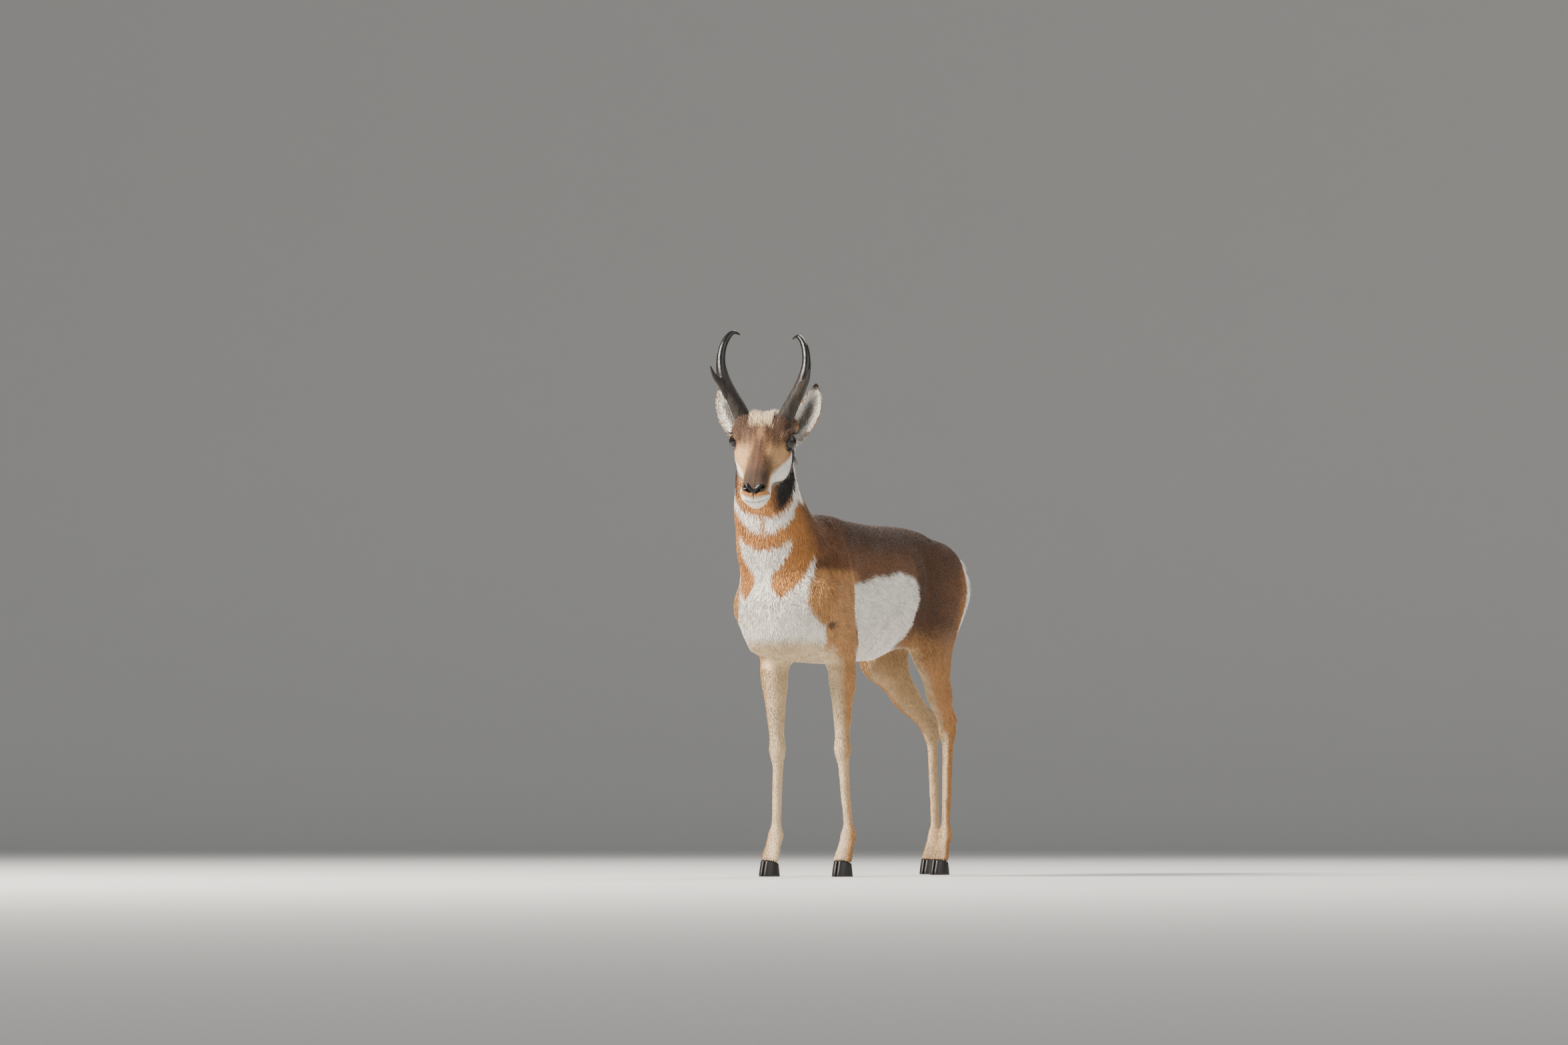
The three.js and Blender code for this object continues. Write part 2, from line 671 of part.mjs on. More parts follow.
// The rims of both lids, an almond ring round the eye
function lids(s) {
  const out = eyeOut(s);
  const long = MUZZLE.clone().addScaledVector(out, -MUZZLE.dot(out)).normalize();
  const high = out.clone().cross(long).normalize();
  if (high.dot(BROW) < 0) high.negate();
  const centre = eyeCentre(s).addScaledVector(out, EYE_R * 0.52);
  const around = 22;
  const section = 6;
  const points = Array.from({ length: around * section }, (_, i) => {
    const turn = (2 * Math.PI * Math.floor(i / section)) / around;
    const roll = (2 * Math.PI * (i % section)) / section;
    const thick = turn < Math.PI ? 4.6 : 3.6;
    const away = long.clone().multiplyScalar(Math.cos(turn)).addScaledVector(high, Math.sin(turn)).normalize();
    return centre
      .clone()
      .addScaledVector(long, 21.5 * Math.cos(turn))
      .addScaledVector(high, 16.5 * Math.sin(turn) + 1)
      .addScaledVector(out, -5.5 * Math.cos(turn) ** 2 + thick * 0.9 * Math.sin(roll) * s)
      .addScaledVector(away, thick * Math.cos(roll));
  });
  const triangles = points.flatMap((_, i) => {
    const [ring, j] = [i - (i % section), (i + 1) % section];
    const [b, onward] = [ring + j, (ring + section) % points.length];
    const [c, d] = [onward + j, onward + (i % section)];
    return [i, b, c, i, c, d];
  });
  return facingOut(points, triangles);
}

// A solid from points and triangles that all face one way, turned over if that way is inwards
function facingOut(points, triangles) {
  const positions = new Float32Array(points.flatMap((p) => [p.x, p.y, p.z]));
  const made = solidFrom(positions, new Uint32Array(triangles));
  if (made.volume() > 0) return made;
  return solidFrom(positions, new Uint32Array(triangles.slice().reverse()));
}

// Where a ray from inside the flesh leaves it
function skinPoint(from, direction) {
  const onRay = (length) => from.clone().addScaledVector(direction, length);
  let far = 2;
  while (far < 300 && flesh(onRay(far)) < 0) far += 2;
  let near = far - 2;
  for (let turn = 0; turn < 12; turn += 1) {
    const middle = (near + far) / 2;
    if (flesh(onRay(middle)) < 0) near = middle;
    else far = middle;
  }
  return onRay(near);
}

// The line between the lips: a thin wedge that runs round the muzzle from one corner to the other
function mouthLine() {
  const half = 11;
  const rings = [];
  for (let i = -half; i <= half; i += 1) {
    const v = Math.abs(i) / half;
    const turn = (Math.sign(i) * clamp01(v / 0.45) * Math.PI) / 2;
    const back = clamp01((v - 0.45) / 0.55);
    const out = headWay(Math.cos(turn), Math.sin(turn), 0);
    const skin = skinPoint(onHead(mix(160, 106, back), 0, mix(-31, -36, back) + 5 * back ** 3), out);
    const open = mix(2, 1.1, back);
    rings.push([
      skin.clone().addScaledVector(out, 5),
      skin.clone().addScaledVector(BROW, open),
      skin.clone().addScaledVector(out, -5),
      skin.clone().addScaledVector(BROW, -open),
    ]);
  }
  return loft(rings);
}

function nostril(s) {
  const ways = [
    [0.95, 0.2, -0.2],
    [0.85, 0.48, 0.1],
    [0.62, 0.72, 0.3],
    [0.3, 0.85, 0.3],
  ];
  const path = ways.map(([f, l, u]) => {
    const way = headWay(f, l * s, u);
    return skinPoint(onHead(166, s * 3, -6), way).addScaledVector(way, -1);
  });
  const sizes = (t) => [3 + 3 * Math.sin(Math.PI * t), 2.4 + 1.6 * Math.sin(Math.PI * t)];
  return horned(path, sizes, MUZZLE, { rings: 6, around: 8 });
}

// Horns: a flattened sheath with a forward prong, its top hooked back and inwards

const HORN = {
  shaft: [
    [-14, 42, 40],
    [-9, 49, 60],
    [2, 66, 94],
    [12, 85, 130],
    [17, 97, 160],
    [16, 102, 192],
    [9, 99, 224],
    [-3, 90, 248],
    [-14, 77, 261],
    [-24, 62, 256],
  ],
  prong: [
    [14, 80, 116],
    [38, 96, 138],
    [60, 110, 154],
    [74, 118, 176],
  ],
};

const hornWidth = profileOf([
  [0, 24, 21],
  [0.2, 24, 18],
  [0.35, 25, 15.5],
  [0.5, 21, 14],
  [0.62, 12, 10.5],
  [0.8, 9, 8.5],
  [0.93, 6.5, 6],
  [1, 1.6, 1.6],
]);

function horn(s, grow = 0) {
  const rise = 1 - 0.018 * s;
  const placed = (rows) => rows.map(([ahead, left, up]) => overHead(ahead, s * left, up * rise));
  const shaft = horned(placed(HORN.shaft), hornWidth, HEAD_AHEAD, { rings: 18, around: 12, grow });
  const prongSizes = (t) => [mix(20, 2.5, t ** 0.8), mix(12, 2.2, t)];
  const prong = horned(placed(HORN.prong), prongSizes, UP, { rings: 6, around: 8, grow });
  return whole(shaft.add(prong));
}

// Ears: a leaf with a round back, scooped out from the front above a solid root

function earPath(s) {
  return new THREE.CatmullRomCurve3([
    overHead(-52, s * 50, 0),
    overHead(-60, s * 65, 24),
    overHead(-70, s * 88, 62),
    overHead(-79, s * 106, 106),
    overHead(-83, s * 113, 150),
  ]);
}

const earSize = profileOf([
  [0, 16, 15],
  [0.15, 18, 17],
  [0.35, 25, 20],
  [0.55, 29, 18],
  [0.75, 25, 14],
  [0.9, 14, 8],
  [1, 2.5, 2.5],
]);

function earBody(s, { from = 0, to = 1, shrink = 0, ahead = 0, rings = 12, around = 14 } = {}) {
  const curve = earPath(s);
  const back = HEAD_AHEAD.clone()
    .negate()
    .addScaledVector(HEAD_LEFT, -s * 0.28)
    .addScaledVector(UP, 0.12)
    .normalize();
  return loft(
    Array.from({ length: rings + 1 }, (_, i) => {
      const t = mix(from, to, i / rings);
      const tangent = curve.getTangentAt(t);
      const deep = back.clone().addScaledVector(tangent, -back.dot(tangent)).normalize();
      const across = deep.clone().cross(tangent).normalize();
      const [wide, thick] = earSize(t).map((size) => Math.max(0.8, size - shrink));
      const front = ahead ? ahead : thick * mix(0.9, 0.3, clamp01(t / 0.3));
      const spine = curve.getPointAt(t).addScaledVector(tangent, endShift(i, rings, Math.max(0, -shrink)));
      return Array.from({ length: around }, (_, j) => {
        const turn = (2 * Math.PI * j) / around;
        const rise = Math.sin(turn);
        return spine
          .clone()
          .addScaledVector(across, wide * Math.cos(turn))
          .addScaledVector(deep, rise > 0 ? thick * rise : front * rise);
      });
    }),
  );
}

function ear(s) {
  const scoop = earBody(s, { from: 0.2, to: 0.94, shrink: 3.6, ahead: 30, rings: 8, around: 10 });
  return whole(earBody(s).subtract(scoop));
}

// Hooves: two pointed claws to a foot, each with a flat sole and a sloping top under the hair

const CORONET_SLOPE = 0.28;

function coronetCut(fetlock) {
  return [at(0, fetlock.y - 36, HOOF_HEIGHT - 2), at(0, CORONET_SLOPE, 1).normalize()];
}

function claw(fetlock, toe) {
  const around = 12;
  const heights = [0, 0.12, 0.55, 1];
  const rings = heights.map((h) => {
    const length = mix(HOOF_LENGTH, HOOF_LENGTH * 0.7, h) * (h === 0 ? 0.96 : 1);
    const wide = mix(24.5, 21, h) * (h === 0 ? 0.95 : 1);
    const heel = fetlock.y - 9 - 5 * h;
    return Array.from({ length: around }, (_, j) => {
      const turn = (2 * Math.PI * j) / around;
      const along = (1 - Math.cos(turn)) / 2;
      const width = wide * Math.abs(Math.sin(turn)) ** 0.55 * (1 - 0.45 * along ** 2.5);
      const x = Math.sin(turn) >= 0 ? 1.2 + width : 1.2;
      const y = heel - length * along;
      const top = HOOF_HEIGHT - 2 - GAP - CORONET_SLOPE * (y - (fetlock.y - 36));
      return at(fetlock.x + toe * Math.min(x, 26), y, h * top);
    });
  });
  return loft(rings);
}

function tail(grow = 0) {
  const path = [at(0, 626, 792), at(0, 664, 778), at(0, 688, 744), at(0, 697, 710), at(0, 694, 682)];
  const sizes = profileOf([
    [0, 17, 13],
    [0.4, 20, 14],
    [0.75, 17, 11],
    [1, 5, 4],
  ]);
  return horned(path, sizes, at(1, 0, 0), { rings: 9, around: 12, grow });
}

// The nodes

const SIDES = [
  ["left", 1],
  ["right", -1],
];

function solids() {
  const made = {};
  let head = bareHead();
  for (const [word, s] of SIDES) {
    made[`eye_${word}`] = eyeball(s);
    made[`horn_${word}`] = horn(s);
    made[`ear_${word}`] = ear(s);
    head = head.add(lids(s));
    head = head.subtract(eyeball(s, GAP)).subtract(horn(s, GAP));
    head = head.subtract(earBody(s, { shrink: -GAP })).subtract(nostril(s));
  }
  made.head = whole(head.subtract(mouthLine()));
  made.neck = neck();
  made.torso = whole(torso().subtract(tail(GAP)));
  made.tail = tail();
  for (const [name, { fetlock }] of Object.entries(LEGS)) {
    const [point, normal] = coronetCut(fetlock);
    made[name] = whole(leg(name).intersect(beyond(point, normal)));
    made[`${name}_hoof_outer`] = claw(fetlock, Math.sign(fetlock.x));
    made[`${name}_hoof_inner`] = claw(fetlock, -Math.sign(fetlock.x));
  }
  return made;
}

// Looks, by the start of the node's name

const LOOKS = {
  head: { color: 0x9a6f49, roughness: 0.85 },
  neck: { color: 0x8a6240, roughness: 0.9 },
  torso: { color: 0xb98a5a, roughness: 0.9 },
  tail: { color: 0xd9c7a8, roughness: 0.9 },
  foreleg: { color: 0xd2b48c, roughness: 0.88 },
  hindleg: { color: 0xc9a878, roughness: 0.88 },
  ear: { color: 0xc3a27c, roughness: 0.85 },
  eye: { color: 0x0c0908, roughness: 0.12 },
  horn: { color: 0x1d1815, roughness: 0.6 },
  hoof: { color: 0x17130f, roughness: 0.5 },
};

function lookOf(name) {
  if (name.includes("hoof")) return LOOKS.hoof;
  return Object.entries(LOOKS).find(([start]) => name.startsWith(start))[1];
}

// Corners closer than this are one corner, and triangles that this closes up are left out
const WELD = 0.03;

function geometryOf(solid) {
  const { numProp, vertProperties, triVerts } = solid.getMesh();
  const corner = (i) => at(...vertProperties.slice(i * numProp, i * numProp + 3));
  const corners = Array.from({ length: vertProperties.length / numProp }, (_, i) => corner(i));
  const raw = new THREE.BufferGeometry().setFromPoints(corners);
  raw.setIndex(Array.from(triVerts));
  const welded = mergeVertices(raw, WELD);
  const faces = new Map();
  const { array } = welded.index;
  for (let i = 0; i < array.length; i += 3) {
    const face = [array[i], array[i + 1], array[i + 2]];
    if (new Set(face).size < 3) continue;
    const key = face.slice().sort((p, q) => p - q).join();
    if (faces.has(key)) faces.delete(key);
    else faces.set(key, face);
  }
  welded.setIndex([...faces.values()].flat());
  welded.computeVertexNormals();
  return welded;
}

const group = new THREE.Group();
group.name = "pronghorn";
for (const [name, solid] of Object.entries(solids())) {
  const look = new THREE.MeshStandardMaterial({ ...lookOf(name), metalness: 0 });
  const mesh = new THREE.Mesh(geometryOf(solid), look);
  mesh.name = name;
  group.add(mesh);
}

// The origin is moved to the middle of the bottom of the whole
const bounds = new THREE.Box3().setFromObject(group);
const middle = bounds.getCenter(new THREE.Vector3());
for (const mesh of group.children) mesh.geometry.translate(-middle.x, -middle.y, -bounds.min.z);

export default group;
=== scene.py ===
"""A life-size pronghorn buck: skin, coat, ears, eyes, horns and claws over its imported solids."""

import logging
import math
from collections.abc import Callable
from dataclasses import dataclass, field
from enum import Enum

import bmesh
import bpy
import numpy as np
from mathutils import Matrix, Vector, noise


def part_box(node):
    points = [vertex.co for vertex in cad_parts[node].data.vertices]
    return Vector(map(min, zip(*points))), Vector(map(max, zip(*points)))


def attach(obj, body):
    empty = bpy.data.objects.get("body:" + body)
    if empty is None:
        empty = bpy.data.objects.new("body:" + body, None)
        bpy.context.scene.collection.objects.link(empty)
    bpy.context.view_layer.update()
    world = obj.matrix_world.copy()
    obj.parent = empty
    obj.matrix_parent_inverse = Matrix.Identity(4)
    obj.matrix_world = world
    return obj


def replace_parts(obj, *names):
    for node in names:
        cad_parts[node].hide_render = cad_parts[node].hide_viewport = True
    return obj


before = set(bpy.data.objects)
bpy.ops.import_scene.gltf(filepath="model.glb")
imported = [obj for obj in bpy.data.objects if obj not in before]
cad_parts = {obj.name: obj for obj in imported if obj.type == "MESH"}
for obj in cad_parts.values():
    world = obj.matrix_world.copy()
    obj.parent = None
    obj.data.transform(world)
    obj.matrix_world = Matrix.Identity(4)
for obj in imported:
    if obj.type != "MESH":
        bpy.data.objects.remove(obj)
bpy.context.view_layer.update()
LOG = logging.getLogger("pronghorn")
BODY = "root"
MM = 0.001
TINT = "Coat"
TUFT_CORNERS = 7
ROOT_DEPTH = 0.0012
FULL_TURN = 2 * math.pi

Array = np.ndarray
Lay = Callable[[Array, Array], None]
Table = tuple[tuple[float, float], ...]


class Side(Enum):
    """The animal's own sides, with the sign of X on each."""

    LEFT = 1
    RIGHT = -1

    @property
    def word(self) -> str:
        """The side's name in lower case."""
        return self.name.lower()


# Small tools


def ramp(low: float, high: float, value: Array) -> Array:
    """A smooth step from 0 at low to 1 at high.

    Args:
        low: Where the step starts; it may be above high for a falling step.
        high: Where the step ends.
        value: The numbers to place on the step.

    Returns:
        Numbers between 0 and 1.
    """
    t = np.clip((value - low) / (high - low), 0.0, 1.0)
    return t * t * (3.0 - 2.0 * t)


def linear(red: int, green: int, blue: int) -> Array:
    """A screen colour of 0 to 255 as a linear one.

    Args:
        red: Red as seen on a screen.
        green: Green as seen on a screen.
        blue: Blue as seen on a screen.

    Returns:
        Three linear values between 0 and 1.
    """
    c = np.array([red, green, blue]) / 255.0
    return np.where(c <= 0.04045, c / 12.92, ((c + 0.055) / 1.055) ** 2.4)


def unit(v: Array) -> Array:
    """Rows of vectors scaled to length 1."""
    return v / np.maximum(np.linalg.norm(v, axis=-1, keepdims=True), 1e-9)


def catmull(points: list[tuple[float, ...]], t: Array) -> Array:
    """Points on a smooth curve through control points.

    Args:
        points: The control points, each of any number of values.
        t: Places along the curve, 0 to 1, spaced by the control points' index.

    Returns:
        One row for each place.
    """
    p = np.array(points, float)
    last = len(p) - 1
    s = np.clip(np.asarray(t, float), 0, 1) * last
    i = np.minimum(s.astype(int), last - 1)
    u = (s - i)[:, None]
    a, b = p[i], p[i + 1]
    ma = np.where((i > 0)[:, None], (b - p[np.maximum(i - 1, 0)]) / 2, b - a)
    mb = np.where((i < last - 1)[:, None], (p[np.minimum(i + 2, last)] - a) / 2, b - a)
    u2, u3 = u * u, u * u * u
    ends = (2 * u3 - 3 * u2 + 1) * a + (u3 - 2 * u2 + u) * ma + (3 * u2 - 2 * u3) * b
    return ends + (u3 - u2) * mb


def make_object(name: str, verts: Array, faces: Array) -> bpy.types.Object:
    """A mesh object from vertices and faces that all have the same number of corners.

    Args:
        name: The piece's name.
        verts: Rows of x, y, z in metres.
        faces: Rows of vertex numbers.

    Returns:
        The object, shaded smooth and linked to the scene.
    """
    mesh = bpy.data.meshes.new(name)
    corners = faces.shape[1]
    mesh.vertices.add(len(verts))
    mesh.vertices.foreach_set("co", np.ascontiguousarray(verts, np.float32).ravel())
    mesh.loops.add(faces.size)
    mesh.loops.foreach_set("vertex_index", np.ascontiguousarray(faces, np.int32).ravel())
    mesh.polygons.add(len(faces))
    mesh.polygons.foreach_set("loop_start", np.arange(0, faces.size, corners, dtype=np.int32))
    mesh.polygons.foreach_set("use_smooth", np.ones(len(faces), bool))
    mesh.update(calc_edges=True)
    mesh.validate()
    made = bpy.data.objects.new(name, mesh)
    bpy.context.scene.collection.objects.link(made)
    return made


def paint(made: bpy.types.Object, values: Array) -> None:
    """Stores one colour for each vertex.

    Args:
        made: The object.
        values: Rows of linear red, green and blue, or of red, green, blue and a fourth value.
    """
    layer = made.data.color_attributes.new(TINT, "FLOAT_COLOR", "POINT")
    rgba = np.ones((len(values), 4), np.float32)
    rgba[:, : values.shape[1]] = values
    layer.data.foreach_set("color", rgba.ravel())


def coords(made: bpy.types.Object) -> Array:
    """The vertices of an object.

    Args:
        made: The object.

    Returns:
        Rows of x, y, z in metres.
    """
    out = np.empty(len(made.data.vertices) * 3, np.float32)
    made.data.vertices.foreach_get("co", out)
    return out.reshape(-1, 3).astype(float)


def set_coords(made: bpy.types.Object, points: Array) -> None:
    """Moves the vertices of an object."""
    made.data.vertices.foreach_set("co", np.ascontiguousarray(points, np.float32).ravel())
    made.data.update()


def normals(made: bpy.types.Object) -> Array:
    """The vertex normals of an object.

    Args:
        made: The object.

    Returns:
        Rows of unit vectors.
    """
    out = np.empty(len(made.data.vertices) * 3, np.float32)
    made.data.vertex_normals.foreach_get("vector", out)
    return out.reshape(-1, 3).astype(float)


def edges(made: bpy.types.Object) -> Array:
    """The edges of an object.

    Args:
        made: The object.

    Returns:
        Rows of two vertex numbers.
    """
    out = np.empty(len(made.data.edges) * 2, np.int32)
    made.data.edges.foreach_get("vertices", out)
    return out.reshape(-1, 2)


def relax(made: bpy.types.Object, weight: Array, rounds: int) -> None:
    """Smooths an object by moving each vertex towards the middle of its neighbours.

    Args:
        made: The object.
        weight: How far each vertex goes each round, 0 to 1.
        rounds: How many rounds.
    """
    p = coords(made)
    e = edges(made)
    n = len(p)
    count = np.maximum(np.bincount(e.ravel(), minlength=n), 1)[:, None]
    for _ in range(rounds):
        total = np.stack(
            [
                np.bincount(e[:, 0], p[e[:, 1], k], n) + np.bincount(e[:, 1], p[e[:, 0], k], n)
                for k in range(3)
            ],
            1,
        )
        p += weight[:, None] * (total / count - p)
    set_coords(made, p)


def tube(rings: list[Array], closed: bool = False) -> tuple[Array, Array]:
    """A skin of quads over rings of equal length, with a fan of quads at each open end.

    Args:
        rings: The rings, each a block of rows.
        closed: Whether the last ring joins the first.

    Returns:
        The vertices and the quads.
    """
    count, n = len(rings), len(rings[0])
    verts = list(np.concatenate(rings))
    quads = []
    for i in range(count if closed else count - 1):
        a, b = i * n, ((i + 1) % count) * n
        quads += [(a + j, a + (j + 1) % n, b + (j + 1) % n, b + j) for j in range(n)]
    if not closed:
        for ring, flip in ((0, True), (count - 1, False)):
            start = ring * n
            verts.append(rings[ring].mean(0))
            centre = len(verts) - 1
            for j in range(0, n, 2):
                quad = (centre, start + j, start + (j + 1) % n, start + (j + 2) % n)
                quads.append(quad[::-1] if flip else quad)
    return np.array(verts), np.array(quads)


def face_out(made: bpy.types.Object) -> None:
    """Turns all faces of a closed object outwards.

    Args:
        made: The object.
    """
    work = bmesh.new()
    work.from_mesh(made.data)
    bmesh.ops.recalc_face_normals(work, faces=work.faces)
    work.to_mesh(made.data)
    work.free()


def fuse(made: bpy.types.Object, voxel: float) -> None:
    """Turns overlapping closed parts of an object into one even mesh.

    Args:
        made: The object.
        voxel: The grid's step in metres.
    """
    remesh = made.modifiers.new("fuse", "REMESH")
    remesh.mode = "VOXEL"
    remesh.voxel_size = voxel
    graph = bpy.context.evaluated_depsgraph_get()
    mesh = bpy.data.meshes.new_from_object(made.evaluated_get(graph))
    made.modifiers.clear()
    made.data = mesh
    mesh.polygons.foreach_set("use_smooth", np.ones(len(mesh.polygons), bool))


def triangles(mesh: bpy.types.Mesh) -> Array:
    """The triangles of a mesh.

    Args:
        mesh: The mesh.

    Returns:
        Rows of three vertex numbers.
    """
    mesh.calc_loop_triangles()
    out = np.empty(len(mesh.loop_triangles) * 3, np.int32)
    mesh.loop_triangles.foreach_get("vertices", out)
    return out.reshape(-1, 3)


def read(table: Table, at: Array) -> Array:
    """Values from a table, with straight lines between its rows.

    Args:
        table: Rows of place and value, with rising places.
        at: The places to read.

    Returns:
        One value for each place.
    """
    rows = np.array(table, float)
    return np.interp(at, rows[:, 0], rows[:, 1])


def brush(out: Array) -> Lay:
    """A brush that lays colours on rows of colour.

    Args:
        out: The rows, whose first three columns are painted in place.

    Returns:
        A function of a mask and a colour.
    """

    def lay(mask: Array, colour: Array) -> None:
        """Paints a colour through a mask."""
        out[:, :3] += np.clip(mask, 0, 1)[:, None] * (colour - out[:, :3])

    return lay


def arc(count: int) -> Array:
    """Even angles over a full turn, without the last one that meets the first."""
    return np.linspace(0, FULL_TURN, count, endpoint=False)


def dress(made: bpy.types.Object, material: bpy.types.Material) -> bpy.types.Object:
    """Gives a piece its material and the body that it rides on.

    Args:
        made: The piece.
        material: Its material.

    Returns:
        The same piece.
    """
    made.data.materials.clear()
    made.data.materials.append(material)
    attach(made, BODY)
    LOG.info("%s: %d faces", made.name, len(made.data.polygons))
    return made


# Landmarks


@dataclass
class Head:
    """The head's axes, in millimetres: f along the muzzle, l to the left, u towards the brow."""

    turn: float = math.radians(18.5)
    down: float = math.radians(39.0)
    roll: float = math.radians(1.4)
    eyes_middle: tuple[float, float, float] = (19.0, -280.0, 1021.0)
    eye_f: float = -2.0
    eye_u: float = 8.0

    def __post_init__(self) -> None:
        """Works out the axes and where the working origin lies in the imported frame."""
        m = (
            Matrix.Rotation(self.turn, 3, "Z")
            @ Matrix.Rotation(self.down, 3, "X")
            @ Matrix.Rotation(self.roll, 3, "Y")
        )
        self.muzzle = np.array(m @ Vector((0, -1, 0)))
        self.left = np.array(m @ Vector((1, 0, 0)))
        self.brow = np.array(m @ Vector((0, 0, 1)))
        c, s = math.cos(self.down), math.sin(self.down)
        self.ahead = self.muzzle * c + self.brow * s
        self.up = -self.muzzle * s + self.brow * c
        boxes = [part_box(f"eye_{side.word}") for side in Side]
        middle = sum((np.array(low) + np.array(high) for low, high in boxes), np.zeros(3)) / 4
        self.origin = middle - MM * (self.eye_f * self.muzzle + self.eye_u * self.brow)
        self.shift = self.origin - MM * np.array(self.eyes_middle)

    def place(self, f: float, l: float, u: float) -> Array:
        """A point on the head, in metres."""
        return self.origin + MM * (f * self.muzzle + l * self.left + u * self.brow)

    def over(self, ahead: Array, left: Array, up: Array) -> Array:
        """Points near the head in its level directions, in metres.

        Args:
            ahead: Millimetres ahead of the eyes.
            left: Millimetres to the left.
            up: Millimetres up.

        Returns:
            Rows of points.
        """
        a, b, c = (np.atleast_1d(v)[:, None] for v in (ahead, left, up))
        return self.origin + MM * (a * self.ahead + b * self.left + c * self.up)

    def local(self, points: Array) -> Array:
        """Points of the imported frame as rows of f, l, u."""
        d = (points - self.origin) / MM
        return np.stack([d @ self.muzzle, d @ self.left, d @ self.brow], 1)

    def working(self, points: Array) -> Array:
        """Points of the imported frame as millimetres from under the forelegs' middle."""
        return (points - self.shift) / MM

    def world(self, points: Array) -> Array:
        """The inverse of working."""
        return np.asarray(points, float) * MM + self.shift


HEAD = Head()

NECK_LINE = np.array(
    [(-6, -86, 702), (-19, -128, 792), (-27, -164, 884), (-25, -184, 968), (-4, -198, 1036)], float
)


def neck_middle(z: Array) -> tuple[Array, Array]:
    """Where the neck's middle line lies at each height, in working millimetres.

    Args:
        z: The heights.

    Returns:
        The line's x and its y.
    """
    heights = NECK_LINE[:, 2]
    return np.interp(z, heights, NECK_LINE[:, 0]), np.interp(z, heights, NECK_LINE[:, 1])


# Markings


@dataclass(frozen=True)
class Palette:
    """The coat's colours, linear."""

    tan: Array = field(default_factory=lambda: linear(184, 135, 84))
    ochre: Array = field(default_factory=lambda: linear(182, 124, 66))
    sand: Array = field(default_factory=lambda: linear(206, 162, 112))
    brown: Array = field(default_factory=lambda: linear(116, 77, 46))
    # The thigh's colour is the tan coat darkened by painted shade.
    shaded_thigh: Array = field(default_factory=lambda: linear(84, 54, 32))
    # The back's colour is the upper coat's own darker brown, deepened with painted shade; face and
    # nape also use it for their dark hair.
    back: Array = field(default_factory=lambda: linear(70, 45, 28))
    dark: Array = field(default_factory=lambda: linear(52, 37, 28))
    black: Array = field(default_factory=lambda: linear(24, 19, 17))
    white: Array = field(default_factory=lambda: linear(238, 232, 222))
    cream: Array = field(default_factory=lambda: linear(216, 191, 154))
    buff: Array = field(default_factory=lambda: linear(192, 161, 120))
    nose: Array = field(default_factory=lambda: linear(13, 11, 11))


